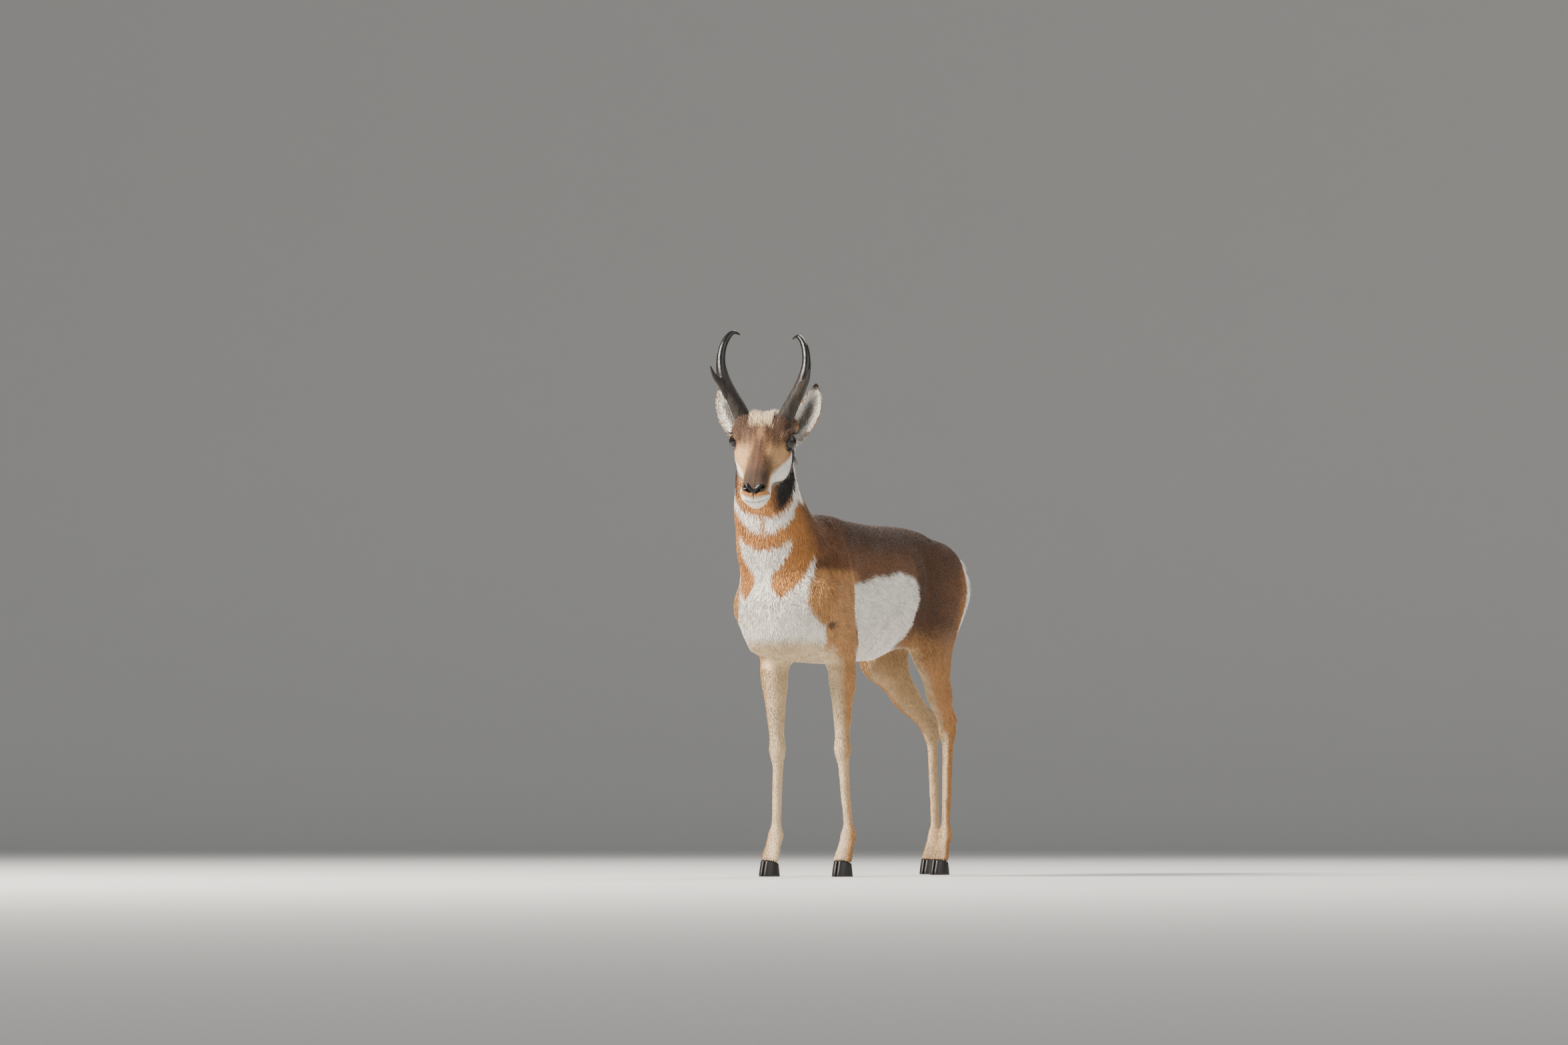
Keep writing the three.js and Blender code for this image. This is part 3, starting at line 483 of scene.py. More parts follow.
@dataclass
class Markings:
    """Where each colour of the coat lies, by place and by the way the surface faces."""

    head: Head
    colours: Palette = field(default_factory=Palette)
    throat_turn: float = 4.5
    band_rise: float = 95.0
    flank_top: Table = (
        (0, 660), (14, 692), (32, 702), (103, 714), (167, 724), (237, 734), (310, 732), (336, 712)
    )
    flank_rear: Table = (
        (560, 304), (600, 330), (619, 338), (642, 343), (671, 346), (706, 344), (735, 334)
    )
    flank_front: Table = ((560, 26), (600, 12), (650, 8), (700, 14))
    rump_front: Table = (
        (560, 560), (596, 582), (668, 606), (704, 612), (734, 603), (763, 588), (800, 600)
    )
    breast_edge: Table = (
        (540, -118), (560, -124), (598, -140), (603, -158), (631, -182),
        (659, -187), (688, -180), (729, -154), (746, -145), (766, -135),
    )
    bib_half: Table = (
        (640, 40), (662, 22), (670, 16), (694, 9), (711, 8.5),
        (727, 13), (750, 25), (773, 33), (801, 40),
    )
    patch_half: Table = (
        (650, 16), (662, 22), (688, 35), (716, 46), (746, 60), (763, 72), (770, 190)
    )
    cheek_top: Table = (
        (-80, -34), (-40, -34), (0, -26), (45, -15), (100, -8), (160, -14), (190, -16)
    )
    bridge_half: Table = ((20, 5), (60, 12), (95, 20), (137, 25), (175, 25))
    jaw_line: Table = ((-30, -36), (-44, -62), (-24, -90), (20, -100))
    jaw_start: float = 30.0
    jaw_start_right: float = 58.0

    def neck_place(self, w: Array) -> tuple[Array, Array]:
        """Where points lie round the neck.

        Args:
            w: Rows of working millimetres.

        Returns:
            The angle from the throat's middle in degrees, and the height less the bands' rise.
        """
        cx, cy = neck_middle(w[:, 2])
        turn = np.radians(np.interp(w[:, 2], [700, 850], [0, 18]))
        dx, dy = w[:, 0] - cx, w[:, 1] - cy
        ahead = dx * np.sin(turn) - dy * np.cos(turn)
        aside = dx * np.cos(turn) + dy * np.sin(turn)
        angle = np.arctan2(aside, ahead)
        level = w[:, 2] - self.band_rise * (1 - np.cos(angle))
        return np.abs(np.degrees(angle) + self.throat_turn), level

    def colour(self, points: Array, facing: Array) -> Array:
        """The coat's colour.

        Args:
            points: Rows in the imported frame, metres.
            facing: The surface's normals there.

        Returns:
            Rows of linear colour and, in a fourth column, how bare and wet the skin is.
        """
        w = self.head.working(points)
        h = self.head.local(points)
        out = np.tile(self.colours.brown, (len(w), 1))
        face = self.face_share(h)
        lay = brush(out)
        self.trunk(lay, w)
        self.limbs(lay, w, facing)
        self.rump(lay, w)
        self.chest(lay, w)
        self.neck(lay, w, face)
        self.face(lambda mask, colour: lay(mask * face, colour), h)
        wet = self.nose_share(h)
        lay(wet, self.colours.nose)
        return np.concatenate([out, wet[:, None]], 1)

    def trunk(self, lay: Lay, w: Array) -> None:
        """Darker back and thigh, partly painted shade, tan lower shoulder under a painted cast
        shadow, white flank and belly.

        Args:
            lay: The brush.
            w: Rows of working millimetres.
        """
        c = self.colours
        _, y, z = w.T
        # Darker back from here up: the coat's own darker upper side, deepened with painted shade.
        lay(ramp(745, 830, z), c.back)
        # Tan only on the lower shoulder: the brown left above this line is a painted cast shadow of
        # the head and neck.
        lay(ramp(745, 725, z) * ramp(60, 0, y), c.tan)
        streak = np.sin(y / 4.3 + 1.2 * np.sin(z / 31.0)) * np.sin(y / 11.0 + z / 90.0)
        streaked = ramp(0.1, 0.9, streak) * ramp(40, 10, y) * ramp(640, 690, z) * ramp(762, 720, z)
        lay(streaked * 0.5, c.brown)
        # Dark brown thigh and haunch: the tan coat darkened with painted shade, lighter tan lower
        # down.
        lay(ramp(330, 360, y) * ramp(820, 780, z), c.shaded_thigh)
        lay(ramp(400, 540, y) * ramp(800, 700, z) * 0.8, c.brown)
        lay(ramp(330, 360, y) * ramp(630, 540, z) * 0.6, c.tan)
        lay(ramp(535, 590, y) * ramp(800, 740, z) * 0.6, c.ochre)
        wave = 3.0 * np.sin(z / 13.0) + 2.0 * np.sin(z / 5.1 + 1.0)
        swell = 3.0 * np.sin(y / 17.0) + 2.0 * np.sin(y / 6.3)
        flank = ramp(9, -7, z - read(self.flank_top, y) - swell)
        flank = flank * ramp(-8, 8, y - read(self.flank_front, z) - wave)
        lay(flank * ramp(9, -9, y - read(self.flank_rear, z) - wave), c.white)
        belly = ramp(566, 548, z) * ramp(-30, 30, y) * ramp(400, 350, y)
        lay(belly, c.white)

    def limbs(self, lay: Lay, w: Array, facing: Array) -> None:
        """Tan outside, pale inside and in front, dark behind the cannons.

        Args:
            lay: The brush.
            w: Rows of working millimetres.
            facing: The surface's normals there.
        """
        c = self.colours
        x, y, z = w.T
        inward = ramp(0.3, -0.15, facing[:, 0] * facing_side(w))
        ahead = ramp(0.55, 0.9, -facing[:, 1])
        behind = ramp(0.35, 0.85, facing[:, 1])
        fore = ramp(560, 515, z) * ramp(84, 56, y) * ramp(36, 56, np.abs(x))
        lay(fore, c.tan)
        lay(fore * np.maximum(inward, ahead * 0.8), c.buff)
        lay(fore * ramp(500, 380, z) * inward * 0.35, c.white)
        lay(fore * behind * ramp(300, 200, z) * 0.7, c.brown)
        hind = ramp(620, 500, z) * ramp(300, 330, y)
        lay(hind * 0.55, c.tan)
        lay(hind * ahead * ramp(520, 360, z), c.cream)
        lay(hind * inward, c.buff)
        lay(hind * behind * ramp(420, 360, z), c.brown)
        groin = inward * ramp(660, 610, z) * ramp(300, 350, y) * ramp(520, 560, z)
        lay(groin * 0.45, c.buff)
        lay(ramp(110, 50, z) * 0.5, c.brown)

    def rump(self, lay: Lay, w: Array) -> None:
        """The white patch round the tail, with a dark line down the tail's root.

        Args:
            lay: The brush.
            w: Rows of working millimetres.
        """
        c = self.colours
        x, y, z = w.T
        edge = read(self.rump_front, z)
        lay(ramp(-5, 5, y - edge) * ramp(560, 600, z) * ramp(822, 806, z), c.white)
        lay(ramp(640, 660, y) * ramp(9, 4, np.abs(x)) * ramp(705, 750, z) * 0.8, c.brown)

    def chest(self, lay: Lay, w: Array) -> None:
        """White breast in front of the shoulders, cream between the elbows, brown on the elbows and
        painted shade in the crease in front of them.

        Args:
            lay: The brush.
            w: Rows of working millimetres.
        """
        c = self.colours
        x, y, z = w.T
        lay(ramp(5, -5, y - read(self.breast_edge, z)) * ramp(778, 764, z), c.white)
        lay(ramp(575, 545, z) * ramp(60, 30, y) * ramp(112, 86, np.abs(x)), c.cream)
        elbow = np.hypot((y - 18) / 46, (z - 578) / 40)
        lay(ramp(1.1, 0.3, elbow) * ramp(70, 95, np.abs(x)) * 0.45, c.brown)
        # Dark in the crease in front of the elbow: painted shade.
        pit = np.hypot((y + 118) / 22, (z - 600) / 13)
        lay(ramp(1.2, 0.3, pit) * ramp(80, 100, np.abs(x)) * 0.8, c.dark)

    def neck(self, lay: Lay, w: Array, face: Array) -> None:
        """Ochre sides that hang down as two patches, browner round the sides as painted shade,
        white bands and bib, dark nape and jaw.

        Args:
            lay: The brush.
            w: Rows of working millimetres.
            face: How far each point belongs to the face.
        """
        c = self.colours
        x, y, z = w.T
        angle, level = self.neck_place(w)
        neck = ramp(-10, -50, y - 0.55 * (z - 720)) * (1 - face) * ramp(650, 664, z)
        inner = read(self.bib_half, z)
        outer = read(self.patch_half, z)
        patch = neck * ramp(-2, 2, angle - inner) * ramp(2, -2, angle - outer)
        sides = neck * ramp(766, 776, z)
        both = np.maximum(patch, sides)
        # Browner round the neck's sides, away from the throat: painted shade.
        side_shade = (ramp(55, 98, angle) * ramp(690, 730, z))[:, None]
        hair = c.ochre + (c.brown - c.ochre) * side_shade
        hair += (c.back - hair) * ramp(115, 160, angle)[:, None]
        lay(both, hair)
        bib = ramp(2, -2, angle - inner) * ramp(4, -4, level - 776 - 0.25 * angle)
        lay(neck * bib, c.white)
        low = 814 + 0.3 * np.minimum(angle, 60)
        band = ramp(-4, 4, level - low) * ramp(4, -4, level - 853)
        lay(neck * band * ramp(84, 72, angle), c.white)
        stripe = ramp(56, 64, angle) * ramp(108, 98, angle) * ramp(885, 905, z) * ramp(1000, 980, z)
        lay(neck * stripe, c.white)
        centre = ramp(4.5, 2.5, angle) * ramp(812, 818, level) * ramp(858, 850, level)
        lay(neck * centre * 0.75, c.ochre)
        start = np.where(x > 0, self.jaw_start, self.jaw_start_right)
        round_jaw = ramp(856, 866, level) * ramp(-22, -2, angle - start) * ramp(95, 84, angle)
        lay(neck * round_jaw, c.brown)
        jaw = ramp(856, 868, level) * ramp(-6, 6, angle - start) * ramp(92, 84, angle)
        lay(neck * (jaw * ramp(1000, 985, z)), c.black)

    def face(self, lay: Lay, h: Array) -> None:
        """Tan face, brown forehead and bridge with a painted shadow down its left side, white
        cheeks and lips, black jaw.

        Args:
            lay: The brush.
            h: Rows of f, l, u.
        """
        c = self.colours
        f, l, u = h.T
        a = np.abs(l)
        lay(np.ones(len(f)), c.tan)
        around = np.hypot((f - 58) / 46, (u - 14) / 26)
        lay(ramp(1.1, 0.6, around) * ramp(18, 30, a), c.sand)
        lay(ramp(14, 36, u + 0.2 * a) * ramp(62, 8, f), c.brown)
        streak = np.sin(l / 2.1 + 0.6 * np.sin(f / 9.0)) * 0.5 + 0.5
        lay(ramp(10, 34, u) * ramp(84, 30, f) * (0.35 + 0.6 * streak), c.back)
        lay(ramp(24, 44, a) * ramp(26, 40, u) * ramp(26, 2, f) * 0.35, c.dark)
        lay(ramp(12, 4, a) * ramp(28, 40, u) * ramp(-10, 10, f) * ramp(50, 30, f) * 0.4, c.sand)
        cheek = ramp(5, -6, u - read(self.cheek_top, f))
        lay(cheek, c.white)
        lay(cheek * ramp(60, 90, f) * ramp(-16, -8, u) * 0.5, c.buff)
        bridge = ramp(9, -5, a - read(self.bridge_half, f)) * ramp(12, 50, f) * ramp(-12, 0, u)
        lay(bridge * 0.95, c.brown)
        lay(bridge * (0.3 + 0.5 * streak), c.back)
        lay(bridge * ramp(90, 150, f) * 0.7, c.dark)
        # Darker down the left side of the bridge: a painted cast shadow.
        lay(ramp(14, 26, l) * ramp(40, 30, l) * ramp(60, 90, f) * ramp(-8, 0, u) * 0.6, c.dark)
        under = path_gap(np.stack([f, u], 1), np.array(self.jaw_line, float))
        lay(ramp(19, 13, under) * ramp(14, 24, a), c.black)
        lay(ramp(-76, -84, u) * ramp(60, 30, f) * 0.8, c.black)
        eye = np.hypot((f - 2) / 29, (u - 5) / 22)
        lay(ramp(1.05, 0.85, eye) * ramp(42, 52, a), c.black)
        crown = ramp(30, 20, a) * ramp(4, -6, f) * ramp(30, 42, u)
        lay(crown, c.cream)
        t = u - 0.55 * (f - 180)
        lay(ramp(-6, -9, t) * ramp(-20, -16, t) * ramp(160, 168, f) * ramp(4, 8, a), c.ochre)
        lip = ramp(1.7, 0.8, np.abs(u - self.mouth_height(f))) * ramp(100, 112, f)
        lay(lip, c.black)
        philtrum = ramp(1.6, 0.8, a) * ramp(176, 182, f) * ramp(-24, -20, u) * ramp(-4, -8, u)
        lay(philtrum, c.black)

    def face_share(self, h: Array) -> Array:
        """How far points belong to the face and skull, for rows of f, l, u."""
        f, _, u = h.T
        return ramp(-96, -82, u + 0.12 * f) * ramp(-98, -80, f + 0.3 * (u + 30))

    def nose_share(self, h: Array) -> Array:
        """How far points belong to the bare nose pad.

        Args:
            h: Rows of f, l, u.

        Returns:
            Shares from 0 to 1.
        """
        f, l, u = h.T
        t = u - 0.55 * (f - 180)
        pad = ramp(1.1, 0.92, np.hypot(l / 27.5, (t - 3) / 13.5)) * ramp(156, 163, f)
        wedge = ramp(1.5, -1.5, np.abs(l) - 0.6 * (t + 2)) * ramp(0, 3, t)
        return pad * (1 - wedge)

    def mouth_height(self, f: Array) -> Array:
        """The mouth line's u at each f."""
        back = np.clip((160 - f) / 54, 0, 1)
        return -31 - 5 * back + 5 * back**3


def facing_side(w: Array) -> Array:
    """The sign of x for rows of working millimetres, 1 on the left and -1 on the right."""
    return np.where(w[:, 0] < 0, -1.0, 1.0)


def path_gap(points: Array, knots: Array) -> Array:
    """The distance from each point to a bent line through knots.

    Args:
        points: Rows of places.
        knots: Rows of the line's corners.

    Returns:
        One distance for each place.
    """
    far = np.full(len(points), 1e3)
    for a, b in zip(knots[:-1], knots[1:]):
        t = np.clip((points - a) @ (b - a) / ((b - a) @ (b - a)), 0, 1)
        far = np.minimum(far, np.linalg.norm(points - a - t[:, None] * (b - a), axis=1))
    return far


# Finishes


@dataclass(frozen=True)
class Nodes:
    """A node tree with short ways to add and join nodes."""

    tree: bpy.types.NodeTree

    def add(self, kind: str, **values: object) -> bpy.types.Node:
        """Adds a node and sets its properties and, by socket name with spaces as _, its inputs.

        Args:
            kind: The node's type.
            **values: Properties or input values.

        Returns:
            The node.
        """
        made = self.tree.nodes.new(kind)
        for key, value in values.items():
            if hasattr(made, key):
                setattr(made, key, value)
            else:
                made.inputs[key.replace("_", " ")].default_value = value
        return made

    def join(self, source: bpy.types.NodeSocket, target: bpy.types.NodeSocket) -> None:
        """Links an output to an input."""
        self.tree.links.new(source, target)


def grain_group() -> bpy.types.NodeTree:
    """The shader group that mottles a colour and gives a height for bump.

    Returns:
        The group, with inputs Colour, Scale, Amount and outputs Colour and Height.
    """
    tree = bpy.data.node_groups.new("grain", "ShaderNodeTree")
    tree.interface.new_socket("Colour", in_out="INPUT", socket_type="NodeSocketColor")
    for name in ("Scale", "Amount"):
        tree.interface.new_socket(name, in_out="INPUT", socket_type="NodeSocketFloat")
    tree.interface.new_socket("Colour", in_out="OUTPUT", socket_type="NodeSocketColor")
    tree.interface.new_socket("Height", in_out="OUTPUT", socket_type="NodeSocketFloat")
    n = Nodes(tree)
    start, end = n.add("NodeGroupInput"), n.add("NodeGroupOutput")
    where = n.add("ShaderNodeTexCoord")
    fine = n.add("ShaderNodeTexNoise", Detail=4.0, Roughness=0.65)
    broad = n.add("ShaderNodeTexNoise", Scale=22.0, Detail=2.0)
    n.join(where.outputs["Object"], fine.inputs["Vector"])
    n.join(where.outputs["Object"], broad.inputs["Vector"])
    n.join(start.outputs["Scale"], fine.inputs["Scale"])
    both = n.add("ShaderNodeMath", operation="ADD")
    n.join(fine.outputs["Fac"], both.inputs[0])
    n.join(broad.outputs["Fac"], both.inputs[1])
    centred = n.add("ShaderNodeMath", operation="SUBTRACT")
    n.join(both.outputs[0], centred.inputs[0])
    centred.inputs[1].default_value = 1.0
    strength = n.add("ShaderNodeMath", operation="MULTIPLY_ADD")
    n.join(centred.outputs[0], strength.inputs[0])
    n.join(start.outputs["Amount"], strength.inputs[1])
    strength.inputs[2].default_value = 1.0
    toned = n.add("ShaderNodeVectorMath", operation="SCALE")
    n.join(start.outputs["Colour"], toned.inputs[0])
    n.join(strength.outputs[0], toned.inputs["Scale"])
    n.join(toned.outputs[0], end.inputs["Colour"])
    n.join(fine.outputs["Fac"], end.inputs["Height"])
    return tree


@dataclass(frozen=True)
class Finish:
    """A surface: painted by the vertices or one colour, with grain, bump and gloss."""

    name: str
    roughness: float
    grain_scale: float = 300.0
    grain_amount: float = 0.3
    bump: float = 0.3
    bump_distance: float = 0.001
    colour: tuple[int, int, int] | None = None
    coat_weight: float = 0.0
    wet_roughness: float | None = None
    sheen: float = 0.0
    specular: float = 0.5

    def make(self, grain: bpy.types.NodeTree) -> bpy.types.Material:
        """Builds the material.

        Args:
            grain: The shared mottling group.

        Returns:
            The material.
        """
        material = bpy.data.materials.new(self.name)
        material.use_nodes = True
        n = Nodes(material.node_tree)
        shader = material.node_tree.nodes["Principled BSDF"]
        shader.inputs["Roughness"].default_value = self.roughness
        shader.inputs["Coat Weight"].default_value = self.coat_weight
        shader.inputs["Coat Roughness"].default_value = 0.04
        shader.inputs["Sheen Weight"].default_value = self.sheen
        shader.inputs["Sheen Roughness"].default_value = 0.5
        shader.inputs["Specular IOR Level"].default_value = self.specular
        mottle = n.add("ShaderNodeGroup", node_tree=grain)
        mottle.inputs["Scale"].default_value = self.grain_scale
        mottle.inputs["Amount"].default_value = self.grain_amount
        if self.colour:
            mottle.inputs["Colour"].default_value = (*linear(*self.colour), 1.0)
        else:
            painted = n.add("ShaderNodeVertexColor", layer_name=TINT)
            n.join(painted.outputs["Color"], mottle.inputs["Colour"])
            if self.wet_roughness is not None:
                gloss = n.add("ShaderNodeMapRange")
                gloss.inputs["To Min"].default_value = self.roughness
                gloss.inputs["To Max"].default_value = self.wet_roughness
                n.join(painted.outputs["Alpha"], gloss.inputs["Value"])
                n.join(gloss.outputs["Result"], shader.inputs["Roughness"])
        n.join(mottle.outputs["Colour"], shader.inputs["Base Color"])
        raised = n.add("ShaderNodeBump", Strength=self.bump, Distance=self.bump_distance)
        n.join(mottle.outputs["Height"], raised.inputs["Height"])
        n.join(raised.outputs["Normal"], shader.inputs["Normal"])
        return material


HIDE = Finish("hide", 0.78, 420.0, 0.35, 0.5, 0.0012, wet_roughness=0.22)
HAIR = Finish("hair", 0.62, 160.0, 0.22, 0.15, 0.0006, sheen=0.08, specular=0.35)
EYE_GLOSS = Finish("eye_gloss", 0.09, 40.0, 0.05, 0.0, coat_weight=0.35, specular=0.3)
LID_SKIN = Finish("lid_skin", 0.45, 500.0, 0.3, 0.3, 0.0005, colour=(14, 11, 10))
HORN_SHEATH = Finish("horn_sheath", 0.62, 260.0, 0.35, 0.6, 0.0012, wet_roughness=0.24)
HOOF_HORN = Finish("hoof_horn", 0.42, 300.0, 0.35, 0.4, 0.0006, colour=(27, 22, 19))
PALE_FLOOR = Finish("pale_floor", 0.9, 2.0, 0.02, 0.0, colour=(206, 205, 202))


# Skin


@dataclass
class Skin:
    """One skin over head, neck, trunk, legs and tail, finer towards the face."""

    head: Head
    markings: Markings
    voxel: float = 0.0052
    swell: float = 0.0006
    body_depth: float = 0.0052
    face_depth: float = 0.0022
    leg_depth: float = 0.0024
    strokes: tuple[tuple[float, ...], ...] = (
        (-62, 760, -118, 650, 16, 3.5),
        (12, 800, 18, 640, 13, -4.5),
        (20, 640, 0, 575, 12, -4.0),
        (-40, 600, -8, 560, 12, 3.0),
        (420, 770, 400, 610, 16, -4.5),
        (470, 840, 440, 800, 20, 3.5),
        (560, 700, 500, 600, 24, 3.0),
        (350, 640, 395, 560, 13, -4.0),
    )
    nostril: tuple[tuple[float, float, float], ...] = (
        (188, 7, -5), (186, 13, 1), (181, 19, 5), (174, 24, 6)
    )
    parts: tuple[str, ...] = (
        "head",
        "neck",
        "torso",
        "tail",
        "foreleg_left",
        "foreleg_right",
        "hindleg_left",
        "hindleg_right",
    )

    def build(self) -> bpy.types.Object:
        """Fuses copies of the flesh, smooths, refines and sinks them, and carves the face.

        Returns:
            The skin, painted.
        """
        skin = self.fused()
        self.smooth(skin)
        self.refine(skin, lambda h: (h[:, 0] > -80) & (h[:, 2] > -100) & (h[:, 0] < 230))
        relax(skin, 0.5 * self.markings.face_share(self.head.local(coords(skin))), 3)
        self.refine(skin, self.fine_zone)
        relax(skin, 0.5 * self.fine_zone(self.head.local(coords(skin))), 2)
        self.sink(skin)
        self.carve(skin)
        p = coords(skin)
        paint(skin, self.markings.colour(p, normals(skin)))
        return skin

    def fused(self) -> bpy.types.Object:
        """Copies of the flesh nodes, swollen to overlap and remeshed as one.

        Returns:
            The rough skin.
        """
        verts, faces, start = [], [], 0
        for name in self.parts:
            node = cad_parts[name]
            p = coords(node) + self.swell * normals(node)
            verts.append(p)
            faces.append(triangles(node.data) + start)
            start += len(p)
        skin = make_object("skin", np.concatenate(verts), np.concatenate(faces))
        fuse(skin, self.voxel)
        return skin

    def smooth(self, skin: bpy.types.Object) -> None:
        """Smooths the flats of the solids away, most on the trunk and least on face and legs.

        Args:
            skin: The skin.
        """
        p = coords(skin)
        w = self.head.working(p)
        face = self.markings.face_share(self.head.local(p))
        trunk = ramp(520, 600, w[:, 2]) * (1 - face)
        relax(skin, 0.5 * trunk, 34)
        relax(skin, 0.5 * (1 - 0.55 * face), 5)

    def refine(self, skin: bpy.types.Object, zone: Callable[[Array], Array]) -> None:
        """Splits the faces of a zone of the head into four.

        Args:
            skin: The skin.
            zone: Tells from rows of f, l, u which points lie in the zone.
        """
        inside = np.asarray(zone(self.head.local(coords(skin)))) > 0.5
        work = bmesh.new()
        work.from_mesh(skin.data)
        work.verts.ensure_lookup_table()
        chosen = [e for e in work.edges if inside[e.verts[0].index] and inside[e.verts[1].index]]
        bmesh.ops.subdivide_edges(work, edges=chosen, cuts=1, use_grid_fill=True)
        bmesh.ops.triangulate(work, faces=[f for f in work.faces if len(f.verts) > 4])
        work.to_mesh(skin.data)
        work.free()
        skin.data.polygons.foreach_set("use_smooth", np.ones(len(skin.data.polygons), bool))

    def fine_zone(self, h: Array) -> Array:
        """The muzzle's tip and the rings round the eyes.

        Args:
            h: Rows of f, l, u.

        Returns:
            1 for points in the zone and 0 for others.
        """
        f, l, u = h.T
        eye = np.hypot(f + 2, u - 8) < 34
        return ((f > 138) | (eye & (np.abs(l) > 38))).astype(float)

    def depth(self, points: Array) -> Array:
        """How deep the skin lies under the coat's tips.

        Args:
            points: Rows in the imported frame.

        Returns:
            Metres for each point.
        """
        w = self.head.working(points)
        h = self.head.local(points)
        face = self.markings.face_share(h)
        legs = ramp(520, 430, w[:, 2])
        deep = self.body_depth * (1 - face) * (1 - legs) + self.face_depth * face
        deep += self.leg_depth * legs * (1 - face)
        return deep * (1 - 0.8 * ramp(120, 160, h[:, 0]) * face)

    def sink(self, skin: bpy.types.Object) -> None:
        """Draws the skin in by the coat's depth."""
        p = coords(skin)
        set_coords(skin, p - self.depth(p)[:, None] * normals(skin))

    def carve(self, skin: bpy.types.Object) -> None:
        """Shapes mouth, nostrils, tendons and the muscles under the skin.

        Args:
            skin: The skin.
        """
        p = coords(skin)
        n = normals(skin)
        h = self.head.local(p)
        w = self.head.working(p)
        f, l, u = h.T
        move = np.zeros(len(p))
        mouth = self.markings.mouth_height(f)
        move -= 2.6 * np.exp(-(((u - mouth) / 1.7) ** 2)) * ramp(98, 116, f) * ramp(-60, -50, u)
        move += 1.3 * np.exp(-(((u - mouth - 6) / 5) ** 2)) * ramp(110, 140, f)
        move += 1.0 * np.exp(-(((u - mouth + 7) / 5) ** 2)) * ramp(120, 150, f)
        cleft = ramp(174, 182, f) * ramp(-31, -27, u) * ramp(6, -2, u)
        move -= 1.4 * np.exp(-((l / 1.1) ** 2)) * cleft
        for side in Side:
            far = path_gap(h, np.array(self.nostril, float) * np.array([1, side.value, 1]))
            move -= 6.5 * ramp(4.6, 1.2, far)
            move += 1.2 * np.exp(-(((far - 6.4) / 2.0) ** 2))
        move *= self.markings.face_share(h)
        tendon = np.sin(np.clip(w[:, 2], 0, 1e3) * 0.02 + w[:, 0] * 0.05)
        move += 0.5 * tendon * ramp(480, 430, w[:, 2]) * ramp(320, 360, w[:, 2])
        move += self.muscles(w) + self.folds(w)
        set_coords(skin, p + MM * move[:, None] * n)

    def muscles(self, w: Array) -> Array:
        """Swellings and hollows of shoulder, flank and haunch.

        Args:
            w: Rows of working millimetres.

        Returns:
            Millimetres along the normal.
        """
        total = np.zeros(len(w))
        for y0, z0, y1, z1, wide, high in self.strokes:
            far = path_gap(w[:, 1:], np.array([(y0, z0), (y1, z1)], float))
            total += high * np.exp(-((far / wide) ** 2)) * ramp(40, 75, np.abs(w[:, 0]))
        return total

    def folds(self, w: Array) -> Array:
        """Wrinkles round the elbow and long creases on the shoulder.

        Args:
            w: Rows of working millimetres.

        Returns:
            Millimetres along the normal.
        """
        x, y, z = w.T
        elbow = np.exp(-(((y + 92) / 42) ** 2) - ((z - 572) / 32) ** 2) * ramp(62, 84, np.abs(x))
        wrinkles = 1.9 * elbow * np.sin(0.26 * z + 0.16 * y + 1.2 * np.sin(0.05 * y))
        pit = np.exp(-(((y + 118) / 17) ** 2) - ((z - 600) / 8) ** 2) * ramp(80, 98, np.abs(x))
        shoulder = np.exp(-(((y + 80) / 48) ** 2) - ((z - 690) / 44) ** 2) * ramp(66, 84, np.abs(x))
        creases = 0.9 * shoulder * np.sin(0.42 * y + 0.05 * z + 1.6 * np.sin(0.06 * z))
        return wrinkles - 6.0 * pit + creases


# Coat


